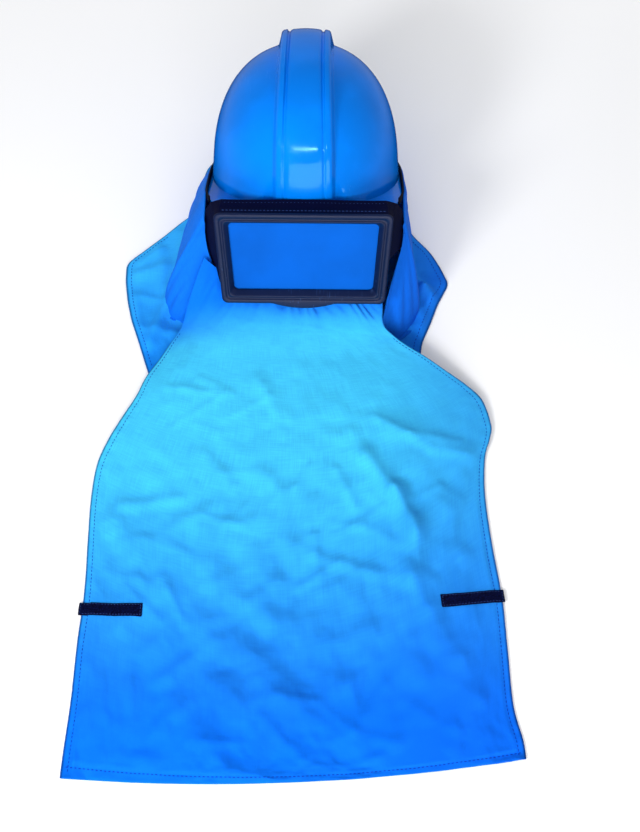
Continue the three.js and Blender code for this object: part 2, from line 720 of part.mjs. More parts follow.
function bibPoint(s, share) {
  const row = between(BIB_ROWS, share);
  const [leftX, leftDown, leftLift, midDown, midLift, rightX, rightDown, rightLift] = row;
  const side = (s + 1) / 2;
  const bend = 1 - s * s;
  const x = mix(leftX, rightX, side);
  const down = mix(leftDown, rightDown, side) + bend * (midDown - (leftDown + rightDown) / 2);
  const swell = 1 - Math.abs(s) ** 3;
  const lift = mix(mix(leftLift, rightLift, side), midLift, swell);
  const fromSide = THREE.MathUtils.clamp((1 - Math.abs(s)) / 0.12, 0, 1);
  const fromHem = THREE.MathUtils.clamp((1 - share) / 0.06, 0, 1);
  const tab = TAB_DROP * Math.max(0, 1 - ((x * BIB_HALF_WIDTH) / TAB_HALF_WIDTH) ** 2);
  const under = tab * THREE.MathUtils.clamp(1 - (down - 0.02) / 0.05, 0, 1);
  const z = lift * BIB_LIFT + fromSide * fromHem * foldLift(x, down) - under * Math.cos(RECLINE);
  const overCape = Math.abs(s) < 0.97 && share < 0.97;
  return [
    x * BIB_HALF_WIDTH,
    BIB_TOP - down * BIB_LENGTH - under * Math.sin(RECLINE),
    Math.max(z, overCape ? CLOTH_WALL * 2 + GAP : CLOTH_WALL + 0.2),
  ];
}

const bibUpper = bibDown.map((share) => bibAcross.map((s) => bibPoint(s, share)));
const bibLower = bibUpper.map((row) => row.map(([x, y, z]) => [x, y, z - CLOTH_WALL]));

function frontBib() {
  const body = wallBetween(bibUpper, bibLower);
  return body.mesh('front_bib', { color: 0x3aa0f5, roughness: 0.85, metalness: 0 });
}

// Height of the bib's upper surface over a point, or that of its nearest point past its edge.
function bibHeight(x, y) {
  let nearest = Infinity;
  let height = 0;
  for (let i = 8; i < bibUpper.length - 1; i += 1) {
    for (let j = 0; j < bibUpper[0].length - 1; j += 1) {
      const [a, b] = [bibUpper[i][j], bibUpper[i][j + 1]];
      const [c, d] = [bibUpper[i + 1][j + 1], bibUpper[i + 1][j]];
      for (const [p, q, r] of [[a, b, c], [a, c, d]]) {
        const area = (q[0] - p[0]) * (r[1] - p[1]) - (r[0] - p[0]) * (q[1] - p[1]);
        const wq = ((x - p[0]) * (r[1] - p[1]) - (r[0] - p[0]) * (y - p[1])) / area;
        const wr = ((q[0] - p[0]) * (y - p[1]) - (x - p[0]) * (q[1] - p[1])) / area;
        if (wq >= 0 && wr >= 0 && wq + wr <= 1) {
          return p[2] + wq * (q[2] - p[2]) + wr * (r[2] - p[2]);
        }
      }
      const gap = Math.hypot(a[0] - x, a[1] - y);
      if (gap < nearest) {
        nearest = gap;
        height = a[2];
      }
    }
  }
  return height;
}

// A strap on the bib, from its outer end inwards, placed by shares of the bib's size.
function strap(name, across, down, turn, length) {
  const outerX = across * BIB_HALF_WIDTH;
  const outerY = BIB_TOP - down * BIB_LENGTH;
  const direction = [Math.cos(turn), Math.sin(turn)];
  const square = [-direction[1], direction[0]];
  const at = (along, side) => {
    const x = outerX + direction[0] * along + square[0] * side;
    const y = outerY + direction[1] * along + square[1] * side;
    return [x, y, bibHeight(x, y) + GAP + 0.15];
  };
  const columns = range(13).map((i) => (length * i) / 12);
  const lower = [-0.5, 0, 0.5].map((s) => columns.map((along) => at(along, s * STRAP_WIDTH)));
  const upper = lower.map((row) => row.map(([x, y, z]) => [x, y, z + STRAP_THICKNESS]));
  return wallBetween(upper, lower).mesh(name, { color: 0x0d143a, roughness: 0.95, metalness: 0 });
}

const group = new THREE.Group();
group.add(helmetShell());
group.add(rimBand());
group.add(visorFrame());
group.add(visorLens());
group.add(visorFlange());
group.add(neckSkirt());
group.add(frontBib());
group.add(backCape());
group.add(strap('strap_left', -0.9913, 0.6685, THREE.MathUtils.degToRad(-2), STRAP_LENGTH));
group.add(strap('strap_right', 0.9304, 0.6324, THREE.MathUtils.degToRad(186.5), STRAP_LENGTH));

export default group;
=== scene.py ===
"""Sandblasting hood: fine surfaces, finishes, floor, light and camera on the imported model.

Sizes are in millimetres and become metres where a mesh is made. X runs across, -Y towards the
cloth's hem, +Z up, and the floor lies at Z = 0.
"""
import logging
import math
from dataclasses import dataclass
from enum import Enum
from typing import ClassVar

import bpy
import numpy as np
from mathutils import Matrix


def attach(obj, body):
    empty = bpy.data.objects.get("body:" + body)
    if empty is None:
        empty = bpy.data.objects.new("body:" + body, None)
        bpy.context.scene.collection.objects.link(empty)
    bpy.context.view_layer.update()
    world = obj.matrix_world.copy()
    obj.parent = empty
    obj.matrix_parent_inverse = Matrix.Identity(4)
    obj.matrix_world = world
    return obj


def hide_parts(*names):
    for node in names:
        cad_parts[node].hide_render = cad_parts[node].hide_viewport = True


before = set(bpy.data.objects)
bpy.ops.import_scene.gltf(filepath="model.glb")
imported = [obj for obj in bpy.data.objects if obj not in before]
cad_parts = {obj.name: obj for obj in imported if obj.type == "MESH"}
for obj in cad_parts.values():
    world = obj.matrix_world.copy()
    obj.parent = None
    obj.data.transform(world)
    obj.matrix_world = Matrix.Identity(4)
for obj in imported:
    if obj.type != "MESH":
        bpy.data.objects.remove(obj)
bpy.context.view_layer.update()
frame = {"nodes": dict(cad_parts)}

LOG = logging.getLogger("hood")
MM = 0.001
TAU = 2 * math.pi
Array = np.ndarray
Piece = bpy.types.Object
Material = bpy.types.Material
Node = bpy.types.Node
Socket = bpy.types.NodeSocket
Colour = tuple[float, float, float, float]


def unit(vectors: Array) -> Array:
    """The vectors of the last axis at length one."""
    return vectors / np.maximum(np.linalg.norm(vectors, axis=-1, keepdims=True), 1e-9)


def mix(a: Array, b: Array, share: Array) -> Array:
    """The value a share of the way from a to b."""
    return a + (b - a) * share


def ease(low: float, high: float, value: Array) -> Array:
    """A smooth step from 0 at low to 1 at high."""
    share = np.clip((value - low) / (high - low), 0, 1)
    return share * share * (3 - 2 * share)


def smooth_rows(table: Array, share: Array) -> Array:
    """Values of a table at a share of the way down it, on the cubic curve through four rows.

    Args:
        table: Rows of values.
        share: Places from 0, the first row, to 1, the last.

    Returns:
        One row of values for each place.
    """
    table = np.asarray(table, float)
    last = len(table) - 1
    place = np.clip(share, 0, 1) * last
    row = np.clip(np.floor(place).astype(int), 0, last - 1)
    t = (place - row)[..., None]
    p = [table[np.clip(row + k, 0, last)] for k in (-1, 0, 1, 2)]
    straight = 2 * p[1] + (p[2] - p[0]) * t
    curved = (2 * p[0] - 5 * p[1] + 4 * p[2] - p[3]) * t**2 + (3 * p[1] - p[0] - 3 * p[2] + p[3]) * t**3
    return 0.5 * (straight + curved)


def resample(points: Array, count: int) -> Array:
    """Evenly spaced points along a line of points.

    Args:
        points: The line, one point a row.
        count: How many points to give.

    Returns:
        The new points, each placed by its length along the line.
    """
    steps = np.linalg.norm(np.diff(points, axis=0), axis=1)
    along = np.concatenate([[0], np.cumsum(steps)])
    wanted = np.linspace(0, along[-1], count)
    return np.stack([np.interp(wanted, along, column) for column in points.T], axis=-1)


def rounded(loop: Array, times: int) -> Array:
    """A closed line with its corners cut at the quarter points.

    Args:
        loop: The line, one point a row, without the first one again.
        times: How many times over.

    Returns:
        The longer line.
    """
    for _ in range(times):
        after = np.roll(loop, -1, axis=0)
        loop = np.stack([0.75 * loop + 0.25 * after, 0.25 * loop + 0.75 * after], axis=1)
        loop = loop.reshape(-1, loop.shape[-1])
    return loop


def wrinkle_field(x: Array, y: Array, seed: int, size: float, count: int = 14) -> Array:
    """Soft crumpling: a sum of waves in random directions, each with random bends.

    Args:
        x: Places across, in millimetres.
        y: Places along, in millimetres.
        seed: Which pattern to give.
        size: The usual distance from one ridge to the next.
        count: How many waves to add.

    Returns:
        Heights from about -1 to 1.
    """
    draw = np.random.default_rng(seed)
    total = np.zeros_like(x)
    for _ in range(count):
        turn, phase, bend = draw.uniform(0, TAU, 3)
        length = size * draw.uniform(0.6, 1.8)
        run = x * math.cos(turn) + y * math.sin(turn)
        side = y * math.cos(turn) - x * math.sin(turn)
        drift = 0.9 * np.sin(side * TAU / (length * 2.3) + bend)
        total += np.sin(run * TAU / length + phase + drift)
    return total / math.sqrt(count)


def fold_field(x: Array, y: Array, folds: Array) -> Array:
    """Ridges along straight lines: height times exp(-(distance / width) squared), added up.

    Args:
        x: Places across.
        y: Places along.
        folds: Rows of [from x, from y, to x, to y, height, width].

    Returns:
        The height at each place.
    """
    total = np.zeros_like(x)
    for x1, y1, x2, y2, height, width in folds:
        dx, dy = x2 - x1, y2 - y1
        share = np.clip(((x - x1) * dx + (y - y1) * dy) / (dx * dx + dy * dy), 0, 1)
        away = np.hypot(x - x1 - share * dx, y - y1 - share * dy) / width
        total += height * np.exp(-(away**2))
    return total


def scattered_folds(seed: int, count: int, across: tuple, along: tuple, height: float) -> Array:
    """Short straight folds at random places and turns, as rows for fold_field.

    Args:
        seed: Which pattern to give.
        count: How many folds.
        across: Range of x for their middles.
        along: Range of y for their middles.
        height: The usual height of a fold.

    Returns:
        Rows of [from x, from y, to x, to y, height, width].
    """
    draw = np.random.default_rng(seed)
    x, y = draw.uniform(*across, count), draw.uniform(*along, count)
    turn, half = draw.uniform(0, math.pi, count), draw.uniform(8, 36, count)
    rise = height * draw.uniform(-0.7, 1.3, count)
    dx, dy = np.cos(turn) * half, np.sin(turn) * half
    return np.stack([x - dx, y - dy, x + dx, y + dy, rise, draw.uniform(4, 9, count)], axis=-1)


class Surface:
    """Grids of points gathered into one mesh, with a place on the cloth for each corner."""

    def __init__(self) -> None:
        """Start with nothing."""
        self.points: list[Array] = []
        self.places: list[Array] = []
        self.faces: list[Array] = []
        self.count = 0

    def grid(self, points: Array, places: Array | None = None, flip: bool = False) -> None:
        """Add a grid, one face between each four neighbouring points.

        Args:
            points: Rows and columns of points.
            places: The same rows and columns on the flat cloth, in millimetres.
            flip: Whether the faces point the other way.
        """
        rows, cols = points.shape[:2]
        index = self.count + np.arange(rows * cols).reshape(rows, cols)
        a, b, c, d = index[:-1, :-1], index[:-1, 1:], index[1:, 1:], index[1:, :-1]
        corners = [a, d, c, b] if flip else [a, b, c, d]
        self.faces.append(np.stack(corners, axis=-1).reshape(-1, 4))
        self.points.append(points.reshape(-1, 3))
        flat = points[..., :2] if places is None else places
        self.places.append(flat.reshape(-1, 2))
        self.count += rows * cols

    def wall(self, upper: Array, lower: Array, places: Array) -> None:
        """Add two grids and the rounded edge between them, as one closed wall.

        Args:
            upper: Rows and columns of points on the upper side.
            lower: The same points on the lower side.
            places: The same rows and columns on the flat cloth, in millimetres.
        """
        self.grid(upper, places)
        self.grid(lower, places, flip=True)
        outward = np.zeros_like(upper)
        outward[0] += unit(upper[0] - upper[1])
        outward[-1] += unit(upper[-1] - upper[-2])
        outward[:, 0] += unit(upper[:, 0] - upper[:, 1])
        outward[:, -1] += unit(upper[:, -1] - upper[:, -2])
        thickness = np.linalg.norm(upper - lower, axis=-1, keepdims=True)
        middle = (upper + lower) / 2 + unit(outward) * thickness * 0.3
        rings = [border(g) for g in (upper, middle, lower)]
        edge = border(np.concatenate([places, places[..., :1]], axis=-1))[:, :2]
        self.grid(np.stack(rings), np.stack([edge] * 3), flip=True)

    def build(self, name: str, sharp: float = 35) -> Piece:
        """Merge what meets, turn the faces outward, and make the mesh and its object.

        Args:
            name: The piece's name.
            sharp: The angle in degrees above which an edge stays sharp.

        Returns:
            The new object, at the origin.
        """
        points = np.concatenate(self.points) * MM
        corners = np.concatenate(self.faces)
        places = np.concatenate(self.places) * MM
        _, first, index = np.unique(np.round(points, 6), axis=0, return_index=True, return_inverse=True)
        index = index.reshape(-1)
        merged = index[corners]
        kept = merged != np.roll(merged, -1, axis=1)
        quads = corners[kept.sum(axis=1) == 4]
        partial = kept.sum(axis=1) == 3
        triangles = corners[partial][kept[partial]].reshape(-1, 3)
        fans = np.concatenate([quads[:, [0, 1, 2]], quads[:, [0, 2, 3]], triangles])
        a, b, c = (points[fans[:, k]] for k in range(3))
        if np.einsum("ij,ij->i", a, np.cross(b, c)).sum() < 0:
            quads, triangles = quads[:, ::-1], triangles[:, ::-1]
        mesh = bpy.data.meshes.new(name)
        mesh.from_pydata(points[first].tolist(), [], index[quads].tolist() + index[triangles].tolist())
        loops = np.concatenate([quads.reshape(-1), triangles.reshape(-1)])
        layer = mesh.uv_layers.new(name="Cloth")
        layer.uv.foreach_set("vector", places[loops].astype(np.float32).reshape(-1))
        mesh.polygons.foreach_set("use_smooth", np.ones(len(mesh.polygons), bool))
        mesh.set_sharp_from_angle(angle=math.radians(sharp))
        mesh.update()
        piece = bpy.data.objects.new(name, mesh)
        bpy.context.scene.collection.objects.link(piece)
        return piece


def border(grid: Array) -> Array:
    """The outer points of a grid in order, with the first one again at the end."""
    return np.concatenate([grid[0], grid[1:, -1], grid[-1, -2::-1], grid[-2::-1, 0]])


def upright(count: int) -> Array:
    """So many unit vectors that point straight up."""
    return np.tile([0.0, 0.0, 1.0], (count, 1))


def grid_normals(points: Array) -> Array:
    """Unit normals of a grid, the cross product of its two directions, turned upwards.

    Args:
        points: Rows and columns of points.

    Returns:
        One normal for each point.
    """
    down, across = np.gradient(points, axis=0), np.gradient(points, axis=1)
    normals = unit(np.cross(across, down))
    return np.where(normals[..., 2:].sum() < 0, -normals, normals)


def dress(piece: Piece, material: Material, slot: str, *nodes: str) -> Piece:
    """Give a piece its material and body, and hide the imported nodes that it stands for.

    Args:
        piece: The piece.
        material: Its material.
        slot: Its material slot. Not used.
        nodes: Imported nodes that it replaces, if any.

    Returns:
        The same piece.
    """
    piece.data.materials.append(material)
    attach(piece, "root")
    if nodes:
        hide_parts(*nodes)
    LOG.info("%s: %d faces", piece.name, len(piece.data.polygons))
    return piece


def stitch_run(name: str, path: Array, up: Array, pitch: float, size: tuple[float, float, float]) -> Piece:
    """Stitches along a line, each an oval of thread: length, width and height by one unit form.

    Args:
        name: The piece's name.
        path: The line on the cloth, one point a row.
        up: The way off the cloth at each point.
        pitch: The distance from one stitch to the next.
        size: Length, width and height of one stitch.

    Returns:
        The object that holds them all.
    """
    length = np.linalg.norm(np.diff(path, axis=0), axis=1).sum()
    count = max(2, int(length / pitch))
    fine = resample(np.concatenate([path, up], axis=1), count * 2 + 1)
    centres, lift = fine[1::2, :3], unit(fine[1::2, 3:])
    along = unit(fine[2::2, :3] - fine[:-1:2, :3])
    side = unit(np.cross(along, lift))
    turn = np.linspace(0, TAU, 7)
    stations = np.array([-0.5, -0.36, 0, 0.36, 0.5])
    girth = np.array([0, 0.8, 1, 0.8, 0])
    form = np.stack(
        [
            np.repeat(stations[:, None], 7, axis=1) * size[0],
            girth[:, None] * np.cos(turn) * size[1] / 2,
            girth[:, None] * np.sin(turn) * size[2] / 2,
        ],
        axis=-1,
    )
    axes = np.stack([along, side, lift], axis=1)
    all_points = np.einsum("rck,nkd->nrcd", form, axes) + centres[:, None, None, :]
    run = Surface()
    for points in all_points:
        run.grid(points)
    return run.build(name, sharp=80)


@dataclass(frozen=True)
class Placing:
    """How the shell leans back on its rear rim."""

    recline: float = math.radians(24)
    rim_y: float = 278.7
    rim_z: float = 83.4

    def world(self, x: Array, f: Array, u: Array) -> Array:
        """Points of the shell's own values, turned by the recline.

        Args:
            x: Across.
            f: Forward, towards the window.
            u: Up, along the shell's own axis.

        Returns:
            The points in the scene.
        """
        y = self.rim_y - f * math.cos(self.recline) + u * math.sin(self.recline)
        z = self.rim_z + f * math.sin(self.recline) + u * math.cos(self.recline)
        return np.stack(np.broadcast_arrays(x, y, z), axis=-1)

    def turn(self, x: Array, f: Array, u: Array) -> Array:
        """A direction of the shell's own values, turned by the recline."""
        return self.world(x, f, u) - np.array([0, self.rim_y, self.rim_z])


class Grain(Enum):
    """How the surface of a hard piece looks close up, as the scale of its grain."""

    GLOSSY = 500.0
    MOULDED = 1400.0
    RUBBER = 1000.0


def linear(red: int, green: int, blue: int) -> Colour:
    """A screen colour from 0 to 255 as linear light, by the power 2.2."""
    return tuple((value / 255) ** 2.2 for value in (red, green, blue)) + (1.0,)


def scaled(colour: Colour, share: float) -> Colour:
    """A colour made darker or lighter by a share."""
    return tuple(value * share for value in colour[:3]) + (1.0,)


class Nodes:
    """A short way to place and join nodes in a tree."""

    def __init__(self, tree: bpy.types.NodeTree) -> None:
        """Work on this tree."""
        self.tree = tree

    def add(self, kind: str, settings: dict | None = None, **inputs: object) -> Node:
        """Place a node, set its properties, and set or join its inputs.

        Args:
            kind: The node's type name.
            settings: Properties of the node by name.
            inputs: Values or sockets by input name, with _ for a space and n0, n1 for a number.

        Returns:
            The node.
        """
        node = self.tree.nodes.new(kind)
        for key, value in (settings or {}).items():
            setattr(node, key, value)
        self.put(node, **inputs)
        return node

    def put(self, node: Node, **inputs: object) -> None:
        """Set or join inputs of a node.

        Args:
            node: The node.
            inputs: Values or sockets by input name, written as for add.
        """
        for key, value in inputs.items():
            socket = node.inputs[int(key[1:])] if key[1:].isdigit() else node.inputs[key.replace("_", " ")]
            if isinstance(value, Socket):
                self.tree.links.new(value, socket)
            else:
                socket.default_value = value

    def blend(self, factor: object, first: object, second: object) -> Socket:
        """A colour between two, by a factor."""
        node = self.add("ShaderNodeMix", {"data_type": "RGBA"}, n0=factor, n6=first, n7=second)
        return node.outputs[2]

    def maths(self, kind: str, first: object, second: object = 0.0) -> Socket:
        """A sum on one or two values."""
        return self.add("ShaderNodeMath", {"operation": kind}, n0=first, n1=second).outputs[0]

    def times(self, first: object, second: object) -> Socket:
        """Two values multiplied."""
        return self.maths("MULTIPLY", first, second)

    def noise(self, vector: object, scale: object, detail: float) -> Socket:
        """Noise at places, from 0 to 1."""
        return self.add("ShaderNodeTexNoise", Vector=vector, Scale=scale, Detail=detail).outputs[0]

    def group(self, tree: bpy.types.NodeTree, **inputs: object) -> Node:
        """A node that holds a group, with its inputs."""
        return self.add("ShaderNodeGroup", {"node_tree": tree}, **inputs)

    def part(self, vector: object, axis: int) -> Socket:
        """One of the three values of a vector."""
        return self.add("ShaderNodeSeparateXYZ", Vector=vector).outputs[axis]

    def ramp(self, value: object, low: float, high: float) -> Socket:
        """A value carried from low..high to 0..1 and held there."""
        settings = {"interpolation_type": "SMOOTHSTEP"}
        return self.add("ShaderNodeMapRange", settings, Value=value, From_Min=low, From_Max=high).outputs[0]


def new_group(
    name: str, inputs: dict[str, float], outputs: tuple[str, ...]
) -> tuple[Nodes, dict, Node]:
    """Start a node group with a Vector input, named number inputs and named number outputs.

    Args:
        name: The group's name.
        inputs: Default value of each number input.
        outputs: Names of the number outputs.

    Returns:
        The nodes, the input sockets by name, and the output node.
    """
    tree = bpy.data.node_groups.new(name, "ShaderNodeTree")
    tree.interface.new_socket("Vector", in_out="INPUT", socket_type="NodeSocketVector")
    for key, value in inputs.items():
        tree.interface.new_socket(key, in_out="INPUT", socket_type="NodeSocketFloat").default_value = value
    for key in outputs:
        tree.interface.new_socket(key, in_out="OUTPUT", socket_type="NodeSocketFloat")
    nodes = Nodes(tree)
    entry = nodes.add("NodeGroupInput")
    return nodes, entry.outputs, nodes.add("NodeGroupOutput")


def weave_group() -> bpy.types.NodeTree:
    """Plain weave: crossed waves of thread, with streaks where single threads are thicker.

    Returns:
        The node group.
    """
    nodes, entry, leave = new_group("weave", {"Threads": 6400.0}, ("Height", "Streaks"))
    waves, streaks = [], []
    for axis in (0, 1):
        waves.append(nodes.maths("SINE", nodes.times(nodes.part(entry["Vector"], axis), entry["Threads"])))
    for stretch in ((1.0, 0.05, 1.0), (0.05, 1.0, 1.0)):
        drawn = nodes.add("ShaderNodeMapping", Vector=entry["Vector"], Scale=stretch).outputs[0]
        streaks.append(nodes.noise(drawn, 900.0, 2.0))
    both = nodes.times(nodes.maths("ADD", *streaks), 0.5)
    nodes.put(leave, Height=nodes.times(*waves), Streaks=both)
    return nodes.tree


def crumple_group() -> bpy.types.NodeTree:
    """Small creases of worn cloth: soft cells, bent by noise, with finer noise over them.

    Returns:
        The node group.
    """
    nodes, entry, leave = new_group("crumple", {"Scale": 23.0}, ("Height", "Patches"))
    bend = nodes.add("ShaderNodeTexNoise", Vector=entry["Vector"], Scale=16.0, Detail=2.0)
    reach = nodes.add("ShaderNodeVectorMath", {"operation": "SCALE"}, n0=bend.outputs["Color"], Scale=0.07)
    bent = nodes.add("ShaderNodeVectorMath", {"operation": "ADD"}, n0=entry["Vector"], n1=reach.outputs[0])
    soft = {"feature": "SMOOTH_F1"}
    cells = nodes.add(
        "ShaderNodeTexVoronoi", soft, Vector=bent.outputs[0], Scale=entry["Scale"], Smoothness=0.3
    )
    fine = nodes.times(nodes.noise(entry["Vector"], 60.0, 2.0), 0.16)
    patches = nodes.noise(entry["Vector"], 7.0, 4.0)
    height = nodes.maths("ADD", cells.outputs["Distance"], fine)
    nodes.put(leave, Height=nodes.times(height, nodes.ramp(patches, 0.35, 0.6)), Patches=patches)
    return nodes.tree


def grain_group() -> bpy.types.NodeTree:
    """Moulded grain: fine cells over a slow ripple, with sparse specks of grit.

    Returns:
        The node group.
    """
    nodes, entry, leave = new_group("grain", {"Scale": 900.0}, ("Height", "Specks", "Cloud"))
    cells = nodes.noise(entry["Vector"], entry["Scale"], 3.0)
    specks = nodes.add("ShaderNodeTexVoronoi", Vector=entry["Vector"], Scale=160.0)
    cloud = nodes.noise(entry["Vector"], 14.0, 5.0)
    grit = nodes.maths("LESS_THAN", specks.outputs[0], 0.07)
    nodes.put(leave, Height=cells, Specks=grit, Cloud=cloud)
    return nodes.tree


def wear_group() -> bpy.types.NodeTree:
    """Fine scratches in two directions: noise drawn out long, cut high, and kept to patches.

    Returns:
        The node group.
    """
    nodes, entry, leave = new_group("wear", {"Amount": 0.5}, ("Mask",))
    lines = []
    for turn in (0.5, -0.9):
        drawn = nodes.add(
            "ShaderNodeMapping", Vector=entry["Vector"], Rotation=(0.4, 0.2, turn), Scale=(1.0, 0.03, 0.3)
        )
        lines.append(nodes.ramp(nodes.noise(drawn.outputs[0], 700.0, 1.0), 0.68, 0.74))
    thin = nodes.maths("MAXIMUM", lines[0], lines[1])
    kept = nodes.ramp(nodes.noise(entry["Vector"], 11.0, 2.0), 0.5, 0.68)
    nodes.put(leave, Mask=nodes.times(nodes.times(thin, kept), entry["Amount"]))
    return nodes.tree


class Groups:
    """The node groups, each built once."""

    def __init__(self) -> None:
        """Build all four."""
        self.weave = weave_group()
        self.crumple = crumple_group()
        self.grain = grain_group()
        self.wear = wear_group()


def new_material(name: str) -> tuple[Material, Nodes, Node]:
    """A material with its shader node alone.

    Args:
        name: The material's name.

    Returns:
        The material, its nodes and its Principled shader.
    """
    material = bpy.data.materials.new(name)
    material.use_nodes = True
    return material, Nodes(material.node_tree), material.node_tree.nodes["Principled BSDF"]


@dataclass(frozen=True)
class ClothFinish:
    """Dyed woven cotton: a dye tone, painted light and shade, weave, thread streaks, small creases and
    sheen.
    """

    name: str
    base: Colour
    lit_tone: Colour
    crease: float = 0.004
    light_from: float = -0.16
    light_to: float = 0.05
    upper_from: float = 2.0
    upper_to: float = 3.0
    edge_middle: float = 0.0
    edge_reach: float = 2.0
    side_shade: float = 0.0

    WEAVE_DEPTH: ClassVar[float] = 0.00003
    # Share of each channel of the base kept in the painted shade to the right.
    SIDE_SHADE_TONE: ClassVar[Colour] = (0.9, 0.45, 0.75, 1.0)
    SURFACE: ClassVar[dict] = {
        "Roughness": 0.85, "Sheen_Weight": 0.06, "Sheen_Roughness": 0.4,
        "Sheen_Tint": linear(120, 190, 255), "Specular_IOR_Level": 0.1,
    }

    def material(self, groups: Groups) -> Material:
        """The cloth's material, with its pattern on the piece's own UV map.

        The lighter tone is a painted pool of light, held off just below the window as painted shade
        under the frame. Painted shade darkens the cloth to the right and in the valleys of the creases,
        and it has a dark line along the cut edges. Weave and creases raise the surface.

        Args:
            groups: The shared node groups.

        Returns:
            The material.
        """
        material, nodes, shader = new_material(self.name)
        place = nodes.add("ShaderNodeUVMap", {"uv_map": "Cloth"}).outputs[0]
        solid = nodes.add("ShaderNodeTexCoord").outputs["Object"]
        weave = nodes.group(groups.weave, Vector=place)
        crumple = nodes.group(groups.crumple, Vector=place)
        creases = crumple.outputs["Height"]
        height = nodes.part(solid, 1)
        # Painted light: a lighter tone, ramped along object Y with a ragged edge, stands in for the pool of
        # light from the lamps.
        drift = nodes.times(nodes.maths("SUBTRACT", crumple.outputs["Patches"], 0.5), 0.12)
        light_pool = nodes.ramp(nodes.maths("ADD", height, drift), self.light_from, self.light_to)
        # On the bib the lighter tone stops short of the window, leaving painted shade under the frame.
        upper = nodes.ramp(height, self.upper_to, self.upper_from)
        calm = nodes.maths("SUBTRACT", 1.15, light_pool)
        tone = nodes.blend(nodes.times(light_pool, upper), self.base, self.lit_tone)
        # Painted shade: a darker tone towards +X, where the shell's shadow falls on the cloth.
        right_shade = nodes.times(nodes.ramp(nodes.part(solid, 0), 0.04, 0.2), self.side_shade)
        tone = nodes.blend(right_shade, tone, tuple(v * k for v, k in zip(self.base, self.SIDE_SHADE_TONE)))
        streaks = nodes.ramp(weave.outputs["Streaks"], 0.35, 0.65)
        tone = nodes.blend(nodes.times(streaks, 0.2), tone, scaled(self.base, 0.8))
        # Painted shade in the valleys of the creases, weaker where the painted light is.
        valley_shade = nodes.times(nodes.ramp(creases, 0.2, 0.75), calm)
        tone = nodes.blend(nodes.times(valley_shade, 0.28), tone, scaled(self.base, 0.6))
        away = nodes.maths("ABSOLUTE", nodes.maths("SUBTRACT", nodes.part(place, 0), self.edge_middle))
        edge = nodes.ramp(away, self.edge_reach - 0.0035, self.edge_reach - 0.0005)
        tone = nodes.blend(nodes.times(nodes.times(edge, upper), 0.75), tone, scaled(self.base, 0.2))
        small = nodes.times(weave.outputs["Height"], self.WEAVE_DEPTH)
        folds = nodes.times(nodes.times(creases, calm), self.crease)
        bump = nodes.add("ShaderNodeBump", Height=nodes.maths("ADD", small, folds), Distance=1.0)
        nodes.put(shader, Base_Color=tone, Normal=bump.outputs[0], **self.SURFACE)
        return material


@dataclass(frozen=True)
class HardFinish:
    """Plastic or rubber: a tone with slow clouding, grain, grit and worn lines."""

    name: str
    base: Colour
    worn: Colour
    grain: Grain
    roughness: float
    wear: float
    bump: float
    specular: float

    def material(self, groups: Groups) -> Material:
        """The piece's material, with its pattern on Object coordinates.

        Args:
            groups: The shared node groups.

        Returns:
            The material.
        """
        material, nodes, shader = new_material(self.name)
        solid = nodes.add("ShaderNodeTexCoord").outputs["Object"]
        grain = nodes.group(groups.grain, Vector=solid, Scale=self.grain.value)
        wear = nodes.group(groups.wear, Vector=solid, Amount=self.wear)
        cloud = nodes.ramp(grain.outputs["Cloud"], 0.35, 0.65)
        tone = nodes.blend(cloud, scaled(self.base, 0.86), self.base)
        marked = nodes.blend(wear.outputs["Mask"], tone, self.worn)
        specks = nodes.times(grain.outputs["Specks"], self.wear * 0.3)
        rough = nodes.maths("ADD", nodes.times(cloud, 0.06), self.roughness)
        rough = nodes.maths("ADD", rough, nodes.times(wear.outputs["Mask"], 0.25))
        height = nodes.times(grain.outputs["Height"], self.bump)
        bump = nodes.add("ShaderNodeBump", Height=height, Distance=1.0).outputs[0]
        tone = nodes.blend(specks, marked, self.worn)
        nodes.put(shader, Base_Color=tone, Roughness=rough, Normal=bump, Specular_IOR_Level=self.specular)
        if self.grain is Grain.GLOSSY:
            nodes.put(shader, Specular_Tint=linear(145, 228, 255))
        return material


@dataclass(frozen=True)
class TapeFinish:
    """Hook tape: rows of dark loops as raised cells over a woven ground."""

    name: str
    base: Colour
    loops: Colour

    def material(self, groups: Groups) -> Material:
        """The tape's material, with its pattern on the piece's own UV map.

        Args:
            groups: The shared node groups.

        Returns:
            The material.
        """
        material, nodes, shader = new_material(self.name)
        place = nodes.add("ShaderNodeUVMap", {"uv_map": "Cloth"}).outputs[0]
        cells = nodes.add("ShaderNodeTexVoronoi", Vector=place, Scale=900.0).outputs[0]
        weave = nodes.group(groups.weave, Vector=place, Threads=7000.0)
        tone = nodes.blend(nodes.ramp(cells, 0.1, 0.6), self.loops, self.base)
        lint = nodes.ramp(weave.outputs["Streaks"], 0.6, 0.75)
        tone = nodes.blend(nodes.times(lint, 0.35), tone, self.loops)
        bump = nodes.add("ShaderNodeBump", Height=nodes.times(cells, -0.0006), Distance=1.0).outputs[0]
        nodes.put(shader, Base_Color=tone, Normal=bump, Roughness=0.9, Specular_IOR_Level=0.1)
        return material


